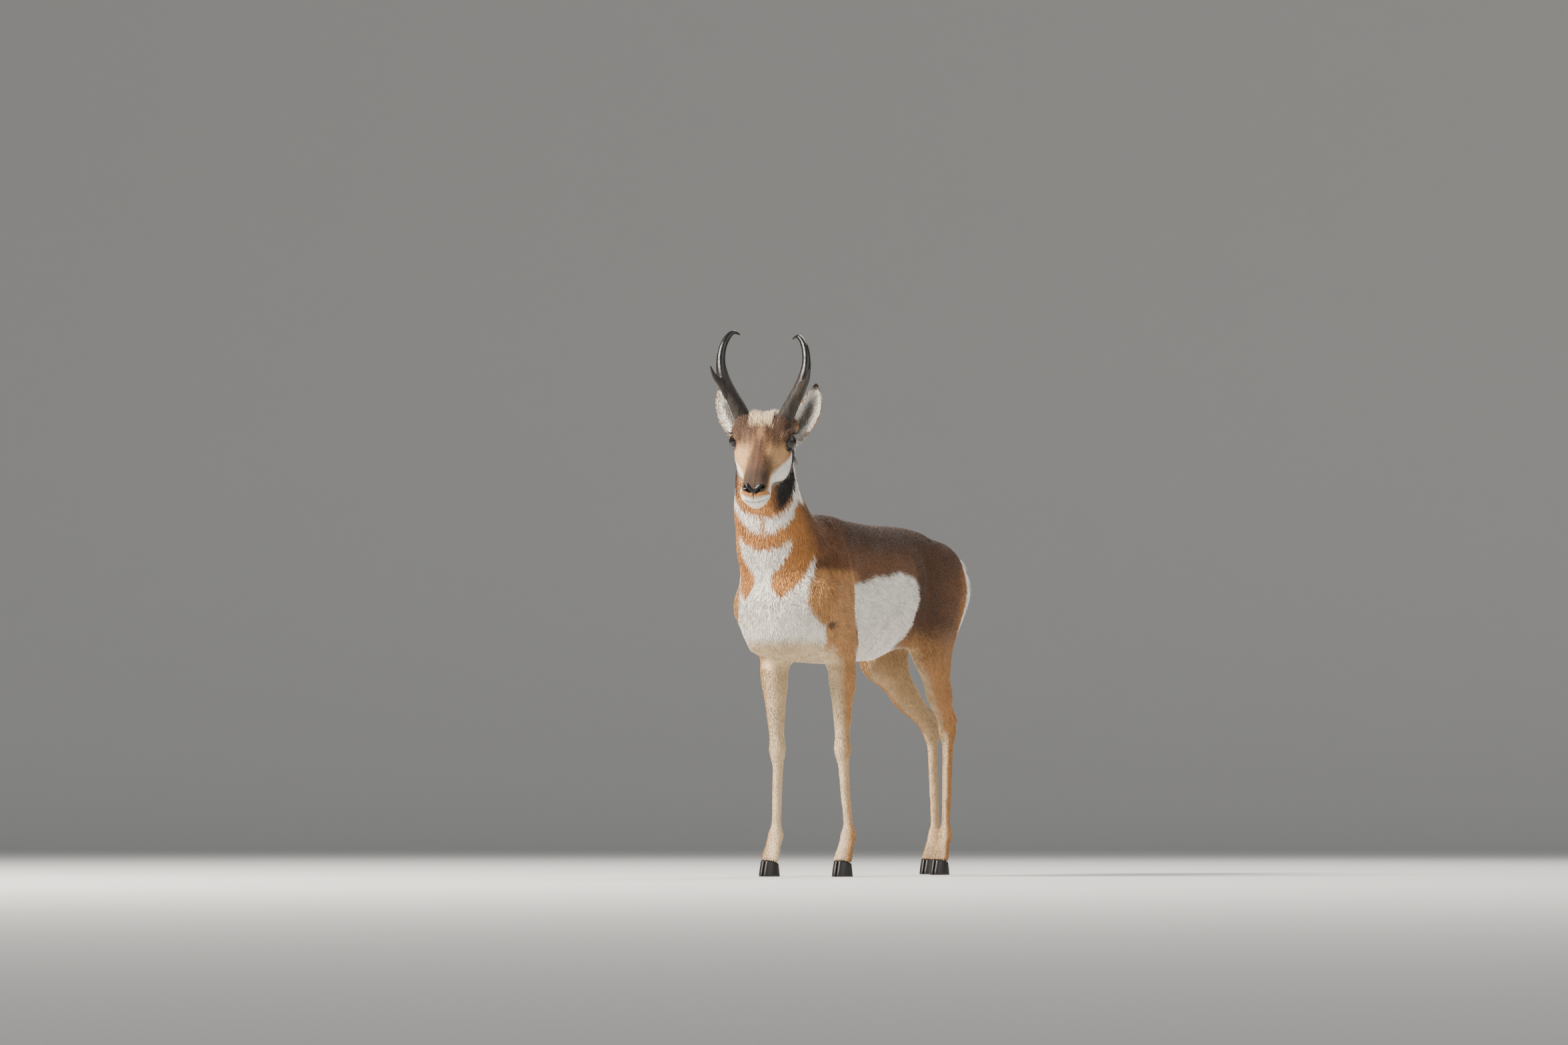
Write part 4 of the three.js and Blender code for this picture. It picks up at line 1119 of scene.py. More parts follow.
@dataclass
class Coat:
    """Short tapered tufts over the skin, lying as the hair lies."""

    head: Head
    markings: Markings
    seed: int = 11
    most: int = 18000
    body_gap: float = 0.0039
    leg_gap: float = 0.0030
    face_gap: float = 0.0023
    cell: float = 0.003
    tries: float = 3.0

    def lie(self, p: Array, n: Array) -> Array:
        """The way the hair points at places on the skin.

        Args:
            p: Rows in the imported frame.
            n: The normals there.

        Returns:
            Rows of unit vectors along the skin.
        """
        w = self.head.working(p)
        h = self.head.local(p)
        x, y, z = w.T
        side = np.sign(x)
        way = np.stack([0.05 * side, np.full(len(p), 1.0), np.full(len(p), -0.45)], 1)
        legs = ramp(600, 500, z)[:, None]
        way = way * (1 - legs) + legs * np.array([0.0, 0.18, -1.0])
        haunch = (ramp(520, 620, y) * ramp(500, 560, z))[:, None]
        way = way * (1 - haunch) + haunch * np.array([0.0, 0.45, -1.0])
        neck = (ramp(680, 740, z) * ramp(20, -60, y))[:, None]
        down = np.stack([0.1 * side, 0.35 + 0 * x, -1.0 + 0 * x], 1)
        way = way * (1 - neck) + neck * down
        chest = (ramp(-110, -150, y) * ramp(720, 690, z) * ramp(520, 560, z))[:, None]
        way = way * (1 - chest) + chest * np.stack([0.25 * side, 0.1 + 0 * x, -1.0 + 0 * x], 1)
        face = self.markings.face_share(h)[:, None]
        outwards = 0.25 * np.sign(h[:, 1:2]) * self.head.left
        back = -self.head.muzzle + outwards - 0.25 * self.head.brow
        way = way * (1 - face) + face * back
        way -= (way * n).sum(1, keepdims=True) * n
        return unit(way)

    def sizes(self, p: Array) -> tuple[Array, Array, Array]:
        """Length, width and lift of the tufts.

        Args:
            p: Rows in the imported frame.

        Returns:
            Millimetres long, millimetres wide and the sine of the lift.
        """
        w = self.head.working(p)
        h = self.head.local(p)
        x, y, z = w.T
        f, l, u = h.T
        long = np.full(len(p), 12.5)
        long += 2 * ramp(600, 640, z) * ramp(0, -60, y) * ramp(840, 800, z)
        long -= 3.5 * ramp(560, 470, z)
        long -= 3 * ramp(400, 250, z)
        rump = ramp(585, 620, y) * ramp(600, 650, z) * ramp(120, 90, np.abs(x))
        long += 18 * rump
        face = self.markings.face_share(h)
        short = np.interp(f, [-90, -40, 20, 80, 150], [14, 11, 6.8, 5.4, 3.8])
        long = long * (1 - face) + face * short
        crown = ramp(36, 20, np.abs(l)) * ramp(8, -4, f) * ramp(24, 36, u) * face
        above_eye = np.hypot((f + 4) / 30, (u - 27) / 8)
        brow = ramp(1.2, 0.7, above_eye) * ramp(38, 48, np.abs(l)) * face
        long += 16 * crown + 7 * brow
        wide = np.interp(long, [4, 8, 14, 36], [0.95, 1.4, 2.1, 3.2])
        lift = 0.17 + 0.12 * rump + 0.45 * crown + 0.3 * brow - 0.03 * face
        return long, wide, lift

    def spacing(self, p: Array) -> Array:
        """The distance between tufts.

        Args:
            p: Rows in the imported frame.

        Returns:
            Metres for each point.
        """
        w = self.head.working(p)
        face = self.markings.face_share(self.head.local(p))
        legs = ramp(560, 470, w[:, 2])
        body = self.body_gap - (self.body_gap - self.leg_gap) * legs
        return body * (1 - face) + self.face_gap * face

    def scatter(self, skin: bpy.types.Object) -> tuple[Array, Array]:
        """Even places over the skin.

        Args:
            skin: The skin.

        Returns:
            The places and the normals there.
        """
        tri = triangles(skin.data)
        p, n = coords(skin), normals(skin)
        a, b, c = p[tri[:, 0]], p[tri[:, 1]], p[tri[:, 2]]
        area = np.linalg.norm(np.cross(b - a, c - a), axis=1) / 2
        step = self.spacing((a + b + c) / 3)
        chance = area / step**2
        rng = np.random.default_rng(self.seed)
        count = int(chance.sum() * self.tries)
        pick = np.searchsorted(np.cumsum(chance) / chance.sum(), rng.random(count))
        pick = np.minimum(pick, len(tri) - 1)
        r1, r2 = np.sqrt(rng.random(count)), rng.random(count)
        k = np.stack([1 - r1, r1 * (1 - r2), r1 * r2], 1)
        t = tri[pick]
        at = (p[t] * k[:, :, None]).sum(1)
        up = unit((n[t] * k[:, :, None]).sum(1))
        kept = np.zeros(count, bool)
        size = self.spacing(at)
        level = np.round(np.log2(size / self.cell) * 4).astype(int)
        for one in np.unique(level):
            mine = np.nonzero(level == one)[0]
            cell = np.floor(at[mine] / (self.cell * 2 ** (one / 4))).astype(np.int64)
            key = cell[:, 0] * 73856093 ^ cell[:, 1] * 19349663 ^ cell[:, 2] * 83492791
            _, first = np.unique(key, return_index=True)
            kept[mine[first]] = True
        kept &= ~self.bare(at)
        return at[kept], up[kept]

    def bare(self, p: Array) -> Array:
        """Where no hair grows: nose pad, lips' edge, eye openings and claws.

        Args:
            p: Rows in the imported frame.

        Returns:
            True for each bare point.
        """
        h = self.head.local(p)
        f, l, u = h.T
        pad = self.markings.nose_share(h) > 0.35
        mouth = (np.abs(u - self.markings.mouth_height(f)) < 2.8) & (f > 104)
        face = self.markings.face_share(h) > 0.5
        eye = (np.hypot((f + 2) / 22, (u - 8.5) / 16.5) < 1) & (np.abs(l) > 44)
        foot = self.head.working(p)[:, 2] < 38
        return pad | (mouth & face) | eye | foot

    def build(self, skin: bpy.types.Object) -> list[bpy.types.Object]:
        """Makes all tufts, in several pieces.

        Args:
            skin: The skin that they stand on.

        Returns:
            The pieces.
        """
        p, n = self.scatter(skin)
        rng = np.random.default_rng(self.seed + 1)
        long, wide, lift = self.sizes(p)
        count = len(p)
        long = long * rng.uniform(0.75, 1.3, count)
        wide = wide * rng.uniform(0.7, 1.25, count)
        way = self.lie(p, n)
        across = np.cross(way, n)
        clump = np.array([noise.noise(Vector(v)) for v in p * 38.0])
        streak = np.array([noise.noise(Vector(v)) for v in p * 160.0])
        way = unit(way + across * (0.55 * clump + rng.normal(0, 0.13, count))[:, None])
        jitter = p + rng.normal(0, 0.0022, p.shape)
        colour = self.markings.colour(jitter, n)[:, :3]
        shade = np.clip(1 + 0.2 * clump + 0.24 * streak + rng.normal(0, 0.12, count), 0.5, 1.5)
        colour = colour * shade[:, None]
        order = np.lexsort((p[:, 2], np.round(p[:, 1] * 4)))
        pieces = []
        for i, start in enumerate(range(0, count, self.most)):
            take = order[start : start + self.most]
            rows = (v[take] for v in (p, n, way, long, wide, lift, colour))
            made = tufts(f"coat_{i + 1}", *rows)
            unwrap_tufts(made, self.chart(p[take]))
            pieces.append(made)
        return pieces

    def chart(self, p: Array) -> Array:
        """Places on a flat chart of the skin, with trunk, head, neck and legs unrolled apart.

        Args:
            p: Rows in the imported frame.

        Returns:
            Rows of u and v between 0 and 1.
        """
        w = self.head.working(p)
        h = self.head.local(p)
        x, y, z = w.T

        def share(a: Array, b: Array) -> Array:
            """The angle of two measures as a share of a full turn."""
            return np.arctan2(a, b) / FULL_TURN + 0.5

        turn = share(x, z - 690)
        uv = np.stack([0.02 + 0.46 * turn, 0.02 + 0.46 * np.clip((y + 300) / 1050, 0, 1)], 1)
        face = self.markings.face_share(h) > 0.5
        round_head = share(h[:, 1], h[:, 2] + 25)
        along = np.clip((h[:, 0] + 110) / 310, 0, 1)
        uv[face] = np.stack([0.52 + 0.46 * round_head, 0.02 + 0.46 * along], 1)[face]
        neck = (z > 700) & (y < 0) & ~face
        angle = share(x + 15, -(y + 150))
        rise = np.clip((z - 700) / 420, 0, 1)
        uv[neck] = np.stack([0.02 + 0.46 * angle, 0.52 + 0.46 * rise], 1)[neck]
        legs = z < 505
        column = (x > 0) * 1 + (y > 250) * 2
        middle = np.where(y > 250, 640 + 60 * (x < 0), 0)
        swing = share(np.abs(x) - 85, y - middle)
        across = 0.52 + 0.115 * column + 0.105 * swing
        leg = np.stack([across, 0.52 + 0.46 * np.clip(z / 505, 0, 1)], 1)
        uv[legs] = leg[legs]
        return uv


def tufts(
    name: str, p: Array, n: Array, way: Array, long: Array, wide: Array, lift: Array, colour: Array
) -> bpy.types.Object:
    """Bent three-sided spikes, each closed, with its root under the skin.

    Args:
        name: The piece's name.
        p: Root places.
        n: Normals at the roots.
        way: The way each tuft points along the skin.
        long: Lengths in millimetres.
        wide: Widths in millimetres.
        lift: Sine of the angle between the tuft's first half and the skin.
        colour: Root colours.

    Returns:
        The joined tufts, painted a little lighter at their tips.
    """
    count = len(p)
    side = np.cross(way, n)
    long, wide = long[:, None] * MM, wide[:, None] * MM
    rise = lift[:, None]
    root = p - ROOT_DEPTH * n
    mid = p + long * 0.5 * (way * np.sqrt(1 - rise**2) + n * rise)
    tip = p + long * (way + n * rise * 0.72)
    thick = wide * 0.42
    verts = np.stack(
        [
            root + side * wide * 0.42,
            root - side * wide * 0.42,
            root + n * thick * 1.5,
            mid + side * wide * 0.5 - n * thick * 0.4,
            mid - side * wide * 0.5 - n * thick * 0.4,
            mid + n * thick * 0.6,
            tip,
        ],
        1,
    )
    foot = [(0, 1, 2)]
    lower = [(0, 3, 4), (0, 4, 1), (1, 4, 5), (1, 5, 2), (2, 5, 3), (2, 3, 0)]
    point = [(3, 6, 4), (4, 6, 5), (5, 6, 3)]
    pattern = np.array(foot + lower + point)
    first = verts[0]
    a, b, c = (first[pattern[:, k]] for k in range(3))
    if (np.cross(b - a, c - a) * (a - first.mean(0))).sum() < 0:
        pattern = pattern[:, ::-1]
    faces = (pattern[None] + TUFT_CORNERS * np.arange(count)[:, None, None]).reshape(-1, 3)
    made = make_object(name, verts.reshape(-1, 3), faces)
    tone = np.array([0.82, 0.82, 0.9, 1.0, 1.0, 1.04, 1.12])
    paint(made, (colour[:, None, :] * tone[None, :, None]).reshape(-1, 3))
    return made


def unwrap_tufts(made: bpy.types.Object, centre: Array, across: float = 0.003) -> None:
    """Gives each tuft a small patch of its own on the flat chart.

    Args:
        made: The tufts.
        centre: Each tuft's place on the chart.
        across: The patch's size.
    """
    turn = np.arange(TUFT_CORNERS) * 2 * math.pi / (TUFT_CORNERS - 1)
    shape = np.stack([np.cos(turn), np.sin(turn)], 1) * across / 2
    shape[-1] = 0
    uv = (centre[:, None, :] + shape[None]).reshape(-1, 2)
    layer = made.data.uv_layers.new(name="OFBake")
    index = np.empty(len(made.data.loops), np.int32)
    made.data.loops.foreach_get("vertex_index", index)
    layer.data.foreach_set("uv", uv[index].astype(np.float32).ravel())


# Ears, eyes, horns, hooves


@dataclass
class Ear:
    """A leaf-shaped ear with a round back and a deep cup."""

    head: Head
    side: Side
    wall: float = 2.4
    rows: int = 46
    columns: int = 21
    path: tuple[tuple[float, float, float], ...] = (
        (-52, 50, 0),
        (-60, 65, 24),
        (-70, 88, 62),
        (-79, 106, 106),
        (-83, 113, 150),
    )
    widths: tuple[tuple[float, float, float], ...] = (
        (0, 15, 14),
        (0.15, 17.5, 16.5),
        (0.35, 24.5, 19.5),
        (0.55, 28.5, 17.5),
        (0.75, 24.5, 13.5),
        (0.9, 14, 7.5),
        (1, 1.5, 1.5),
    )

    def rings(self, inner: bool) -> list[Array]:
        """The rings of the outer or the inner face, from root to tip.

        Args:
            inner: Whether it is the inner face.

        Returns:
            One block of rows for each ring, in metres.
        """
        s = self.side.value
        t = np.linspace(0, 1, self.rows)
        a = np.array(self.path, float) * np.array([1, s, 1])
        line = self.head.over(*catmull([tuple(v) for v in a], t).T)
        tangent = unit(np.gradient(line, axis=0))
        back = -self.head.ahead - 0.28 * s * self.head.left + 0.12 * np.array([0, 0, 1.0])
        deep = unit(back - (tangent @ back)[:, None] * tangent)
        across = np.cross(deep, tangent)
        sizes = np.array(self.widths)
        raw = [np.pad(np.interp(t, sizes[:, 0], sizes[:, k]), 3, "edge") for k in (1, 2)]
        wide, thick = (np.convolve(v, np.ones(7) / 7, "valid") for v in raw)
        wide[-1], thick[-1] = self.widths[-1][1:]
        open_share = ramp(0.1, 0.26, t)
        turn = np.linspace(-1, 1, self.columns) * (math.pi / 2)
        out = []
        for i in range(len(t)):
            shrink = self.wall * open_share[i] if inner else 0.0
            reach = wide[i] - shrink * 0.75
            bow = np.cos(turn) * max(thick[i] - shrink * 1.3, 0.2)
            if inner:
                front = -thick[i] * (0.9 - 0.6 * min(1, t[i] / 0.3)) * np.cos(turn)
                bow = front * (1 - open_share[i]) + bow * open_share[i]
            spread = np.sin(turn)[:, None] * reach * across[i]
            out.append(line[i] + MM * (spread + bow[:, None] * deep[i]))
        return out

    def layout(self) -> tuple[Array, Array, Array]:
        """Where each vertex of the ear lies.

        Returns:
            The share from root to tip, the place round the ear from -1 to 1, and 1 in the cup.
        """
        turn = np.linspace(-1, 1, self.columns)
        ring_turn = np.concatenate([turn, turn[::-1][1:-1]])
        ring_inside = np.concatenate([np.zeros(self.columns), np.ones(self.columns - 2)])
        t = np.append(np.repeat(np.linspace(0, 1, self.rows), len(ring_turn)), [0, 1])
        around = np.append(np.tile(ring_turn, self.rows), [0, 0])
        inside = np.append(np.tile(ring_inside, self.rows), [0, 0])
        return t, around, inside

    def build(self) -> bpy.types.Object:
        """Joins the outer and the inner face into one closed ear.

        Returns:
            The ear, painted.
        """
        outer, inner = self.rings(False), self.rings(True)
        rings = [np.concatenate([o, i[::-1][1:-1]]) for o, i in zip(outer, inner)]
        verts, quads = tube(rings)
        made = make_object(f"ear_skin_{self.side.word}", verts, quads)
        face_out(made)
        t, around, inside = self.layout()
        paint(made, self.tones(t, np.abs(around), inside))
        return made

    def tones(self, t: Array, edge: Array, inside: Array) -> Array:
        """The ear's colours.

        Args:
            t: Share from root to tip.
            edge: 0 in the middle, 1 at the edge.
            inside: 1 in the cup.

        Returns:
            Rows of colour with dryness as the fourth value.
        """
        c = Palette()
        out = np.empty((len(t), 4))
        out[:, :3] = c.tan
        out[:, 3] = 0
        lay = brush(out)
        lay(inside, c.white)
        stripe = ramp(0.42, 0.12, edge) * ramp(0.25, 0.4, t) * ramp(0.85, 0.65, t)
        lay(inside * stripe * 0.85, c.dark)
        lay((1 - inside) * ramp(0.35, 0.0, t), c.brown)
        lay(ramp(0.86, 0.98, edge) * (0.35 + 0.65 * ramp(0.5, 0.8, t)), c.brown)
        lay(ramp(0.86, 0.96, t), c.dark)
        return out

    def fur(self, made: bpy.types.Object) -> bpy.types.Object:
        """Fine tufts inside and outside the ear, pointing to its edges and tip.

        Args:
            made: The ear.

        Returns:
            The tufts.
        """
        rng = np.random.default_rng(31 + self.side.value)
        p, n = coords(made), normals(made)
        along, around, cup = self.layout()
        rows = np.nonzero((along > 0.04) & (along < 0.985))[0]
        pick = np.repeat(rows, 3)
        jitter = rng.normal(0, 0.0011, (len(pick), 3))
        at = p[pick] + jitter - (jitter * n[pick]).sum(1, keepdims=True) * n[pick]
        tip = p[along > 0.97].mean(0)
        middle = p[pick].mean(0)
        way = unit(tip - at) + 0.55 * unit(at - middle) * cup[pick][:, None]
        way -= (way * n[pick]).sum(1, keepdims=True) * n[pick]
        way = unit(way + rng.normal(0, 0.2, way.shape))
        inside = cup[pick]
        long = np.where(inside > 0.5, 12.0, 5.5) * rng.uniform(0.6, 1.25, len(pick))
        long = np.where(along[pick] > 0.85, 6.0, long)
        wide = np.full(len(pick), 1.2) * rng.uniform(0.7, 1.2, len(pick))
        lift = np.where(inside > 0.5, 0.22, 0.12)
        edge = np.abs(around[pick]) + rng.normal(0, 0.05, len(pick))
        tone = self.tones(along[pick], edge, inside)
        tone = tone[:, :3] * rng.uniform(0.82, 1.15, len(pick))[:, None]
        out = tufts(f"ear_coat_{self.side.word}", at, n[pick], way, long, wide, lift, tone)
        across = 0.02 + 0.46 * (0.5 + 0.5 * around[pick]) + 0.5 * inside
        chart = np.stack([across, along[pick]], 1)
        unwrap_tufts(out, np.clip(chart, 0.003, 0.997))
        return out


@dataclass
class Eye:
    """A dark glossy eye with lids and lashes."""

    head: Head
    side: Side
    radius: float = 20.5
    across: float = 59.0
    opening: tuple[float, float] = (21.2, 16.2)
    lid_thick: tuple[float, float] = (2.3, 1.3)
    lash_wide: float = 0.62

    def __post_init__(self) -> None:
        """Works out the eye's own axes."""
        s = self.side.value
        h = self.head
        self.centre = h.place(h.eye_f, s * self.across, h.eye_u)
        self.out = unit(0.3 * h.muzzle + s * h.left + 0.12 * h.brow)
        self.long = unit(h.muzzle - (h.muzzle @ self.out) * self.out)
        high = unit(np.cross(self.out, self.long))
        self.high = high if high @ h.brow > 0 else -high

    def ball(self) -> bpy.types.Object:
        """The eyeball, with a wide dark iris and a long pupil painted on.

        Returns:
            The eyeball.
        """
        rings = []
        for polar in np.linspace(0.02, math.pi - 0.02, 44):
            turn = arc(64)
            bulge = 1 + 0.035 * math.exp(-((polar / 0.62) ** 2))
            r = self.radius * bulge
            ring = (
                np.cos(turn)[:, None] * math.sin(polar) * r * self.long
                + np.sin(turn)[:, None] * math.sin(polar) * r * self.high
                + math.cos(polar) * r * self.out
            )
            rings.append(self.centre + MM * ring)
        verts, quads = tube(rings)
        made = make_object(f"eyeball_{self.side.word}", verts, quads)
        face_out(made)
        d = (coords(made) - self.centre) / (MM * self.radius)
        a, b, o = d @ self.long, d @ self.high, d @ self.out
        r = np.hypot(a, b)
        tone = np.empty((len(d), 3))
        tone[:] = linear(30, 22, 18)
        iris = ramp(0.78, 0.72, r) * (o > 0)
        tone += iris[:, None] * (linear(30, 17, 10) - tone)
        streak = 0.5 + 0.5 * np.sin(np.arctan2(b, a) * 46)
        tone += (iris * streak * ramp(0.4, 0.6, r) * 0.35)[:, None] * (linear(48, 29, 16) - tone)
        pupil = ramp(1.05, 0.9, np.hypot(a / 0.5, b / 0.3)) * (o > 0)
        tone += pupil[:, None] * (linear(5, 5, 6) - tone)
        paint(made, tone)
        return made

    def lid_line(self, turn: Array) -> Array:
        """Points on the lids' edge.

        Args:
            turn: Angles round the eye's opening.

        Returns:
            Rows in metres.
        """
        long, high = self.opening
        return self.centre + MM * (
            self.radius * 0.52 * self.out
            + long * np.cos(turn)[:, None] * self.long
            + (high * np.sin(turn) + 1)[:, None] * self.high
            - (5.5 * np.cos(turn) ** 2)[:, None] * self.out
        )

    def lids(self) -> bpy.types.Object:
        """The bare dark rims of both lids, thicker above.

        Returns:
            The rims.
        """
        turns = arc(72)
        line = self.lid_line(turns)
        rings = []
        for i, turn in enumerate(turns):
            away = unit(math.cos(turn) * self.long + math.sin(turn) * self.high)
            upper = 0.5 + 0.5 * math.sin(turn)
            thick = self.lid_thick[0] + self.lid_thick[1] * upper
            roll = arc(14)
            corner = 1 + 0.25 * abs(math.cos(turn)) ** 8
            rings.append(
                line[i]
                + MM * thick * corner * np.cos(roll)[:, None] * away
                + MM * thick * 0.95 * np.sin(roll)[:, None] * self.out
            )
        verts, quads = tube(rings, closed=True)
        made = make_object(f"lids_{self.side.word}", verts, quads)
        face_out(made)
        return made

    def lashes(self) -> bpy.types.Object:
        """Long stiff lashes on the upper lid and short ones on the lower.

        Returns:
            The lashes of one eye.
        """
        rng = np.random.default_rng(5)
        blocks, faces, start = [], [], 0
        above = np.linspace(0.1 * math.pi, 0.88 * math.pi, 24)
        turns = np.concatenate([above, np.linspace(1.2, 1.75, 7) * math.pi])
        for turn in turns:
            upper = turn < math.pi
            root = self.lid_line(np.array([turn]))[0]
            away = unit(math.cos(turn) * self.long + math.sin(turn) * self.high)
            long = (19 + 6 * math.sin(turn) if upper else 8) * rng.uniform(0.8, 1.1)
            droop = -0.35 if upper else 0.1
            rings = []
            for t in np.linspace(0, 1, 6):
                reach = self.out * (0.9 * t + 0.15) + away * (0.75 * t * t + 0.12)
                reach = reach + self.high * droop * t * (1 - t) * 2
                at = root + MM * long * reach
                wide = self.lash_wide * (1 - 0.9 * t)
                roll = np.linspace(0, 2 * math.pi, 5, endpoint=False)[:4]
                spread = np.cross(self.out, away)
                ring = np.cos(roll)[:, None] * spread + np.sin(roll)[:, None] * away
                rings.append(at + MM * wide * ring)
            verts, quads = tube(rings)
            blocks.append(verts)
            faces.append(quads + start)
            start += len(verts)
        verts, quads = np.concatenate(blocks), np.concatenate(faces)
        made = make_object(f"lashes_{self.side.word}", verts, quads)
        face_out(made)
        return made


@dataclass
class Horn:
    """A sheath with a forward prong, rough below and polished towards its hooked top."""

    head: Head
    side: Side
    shaft: tuple[tuple[float, float, float], ...] = (
        (-14, 42, 40),
        (-9, 49, 60),
        (2, 66, 94),
        (12, 85, 130),
        (17, 97, 160),
        (16, 102, 192),
        (9, 99, 224),
        (-3, 90, 248),
        (-14, 77, 261),
        (-24, 62, 256),
    )
    prong: tuple[tuple[float, float, float], ...] = (
        (14, 80, 116),
        (38, 96, 138),
        (60, 110, 154),
        (74, 118, 176),
    )
    sizes: tuple[tuple[float, float, float], ...] = (
        (0, 24, 21),
        (0.2, 24, 18),
        (0.35, 25, 15.5),
        (0.5, 21, 14),
        (0.62, 12, 10.5),
        (0.8, 9, 8.5),
        (0.93, 6.5, 6),
        (1, 1.6, 1.6),
    )
    voxel: float = 0.0014
    uneven: float = 0.018

    def sweep(self, path: Array, wide: Array, thick: Array, aside: Array) -> tuple[Array, Array]:
        """A tube of oval sections along a path.

        Args:
            path: Rows of points in metres.
            wide: Half widths along the side direction, millimetres.
            thick: Half widths across it.
            aside: The side direction.

        Returns:
            Vertices and quads.
        """
        tangent = unit(np.gradient(path, axis=0))
        across = unit(aside - (tangent @ aside)[:, None] * tangent)
        deep = np.cross(tangent, across)
        roll = arc(40)
        c, s = np.cos(roll)[:, None], np.sin(roll)[:, None]
        rings = [
            path[i] + MM * (c * wide[i] * across[i] + s * thick[i] * deep[i])
            for i in range(len(path))
        ]
        return tube(rings)

    def path(self, rows: tuple[tuple[float, float, float], ...], count: int) -> Array:
        """A smooth evenly spaced line, a little lower on the left side than on the right.

        Args:
            rows: Its knots as millimetres ahead, outwards and up.
            count: How many points it gets.

        Returns:
            The points in metres.
        """
        s = self.side.value
        knots = np.array(rows, float) * np.array([1, s, 1 - self.uneven * s])
        dense = catmull([tuple(v) for v in knots], np.linspace(0, 1, 600))
        run = np.append(0, np.cumsum(np.linalg.norm(np.diff(dense, axis=0), axis=1)))
        even = np.linspace(0, run[-1], count)
        return self.head.over(*(np.interp(even, run, dense[:, k]) for k in range(3)))

    def build(self) -> bpy.types.Object:
        """Fuses shaft and prong, roughens the lower part and paints the whole.

        Returns:
            The horn.
        """
        line = self.path(self.shaft, 120)
        t = np.linspace(0, 1, 120)
        rows = np.array(self.sizes)
        wide, thick = (np.interp(t, rows[:, 0], rows[:, k]) for k in (1, 2))
        wide[1:-1], thick[1:-1] = (
            np.convolve(np.pad(v, 4, "edge"), np.ones(9) / 9, "valid")[1:-1] for v in (wide, thick)
        )
        v1, q1 = self.sweep(line, wide, thick, self.head.ahead)
        tip = self.path(self.prong, 50)
        t = np.linspace(0, 1, 50)
        v2, q2 = self.sweep(tip, 20 + (2.2 - 20) * t**0.8, 12 + (2 - 12) * t, np.array([0, 0, 1.0]))
        verts, quads = np.concatenate([v1, v2]), np.concatenate([q1, q2 + len(v1)])
        made = make_object(f"horn_sheath_{self.side.word}", verts, quads)
        face_out(made)
        fuse(made, self.voxel)
        relax(made, np.full(len(made.data.vertices), 0.5), 6)
        self.roughen(made, line)
        return made

    def roughen(self, made: bpy.types.Object, line: Array) -> None:
        """Ridges and warts that fade towards the top, and the colours that go with them.

        Args:
            made: The horn.
            line: The shaft's middle line in metres.
        """
        p, n = coords(made), normals(made)
        near = np.array([np.argmin(((line[::4] - v) ** 2).sum(1)) for v in p]) * 4 / len(line)
        wart = np.array([noise.noise(Vector(v) * 470) for v in p])
        ridge = np.array([noise.noise(Vector((v[0] * 95, v[1] * 95, v[2] * 22))) for v in p])
        rough = ramp(0.66, 0.35, near)
        set_coords(made, p + MM * ((0.55 * wart + 0.8 * ridge) * rough + 0.15 * ridge)[:, None] * n)
        tone = np.empty((len(p), 4))
        tone[:, :3] = linear(23, 18, 15)
        worn = ramp(-0.1, 0.6, wart + 0.5 * ridge) * rough
        tone[:, :3] += worn[:, None] * 0.6 * (linear(80, 62, 43) - tone[:, :3])
        root = ramp(0.16, 0.02, near)
        tone[:, :3] += root[:, None] * 0.4 * (linear(96, 70, 46) - tone[:, :3])
        tone[:, 3] = 1 - rough
        paint(made, tone)


@dataclass
class Hoof:
    """One pointed claw of a cloven foot."""

    node: str
    toe: int
    fetlock: Array
    length: float = 60.0
    height: float = 33.7
    slope: float = 0.28
    width: float = 24.2
    taper: float = 3.4
    gap: float = 1.3
    reach: float = 25.8
    around: int = 40

    def build(self) -> bpy.types.Object:
        """Lofts the claw from its flat sole to the sloping line of the hair.

        Returns:
            The claw.
        """
        rings = []
        for h in np.array([0.0, 0.03, 0.12, 0.3, 0.5, 0.7, 0.85, 1.0]):
            edge = 0.955 if h == 0 else 0.985 if h < 0.05 else 1.0
            long = self.length * (1 - 0.3 * h) * edge
            wide = (self.width - self.taper * h) * edge
            turn = arc(self.around)
            along = (1 - np.cos(turn)) / 2
            swell = np.abs(np.sin(turn)) ** 0.55 * (1 - 0.45 * along**2.5) * wide
            x = np.minimum(np.where(np.sin(turn) >= 0, self.gap + swell, self.gap), self.reach)
            y = self.fetlock[1] - 9 - 5 * h - long * along
            top = self.height - self.slope * (y - (self.fetlock[1] - 36))
            ripple = 0.25 * math.sin(h * 40)
            outwards = self.fetlock[0] + self.toe * (x + ripple * (x > 2))
            rings.append(np.stack([outwards, y, h * top], 1))
        verts, quads = tube([HEAD.world(r) for r in rings])
        made = make_object(f"claw_{self.node}", verts, quads)
        face_out(made)
        return made


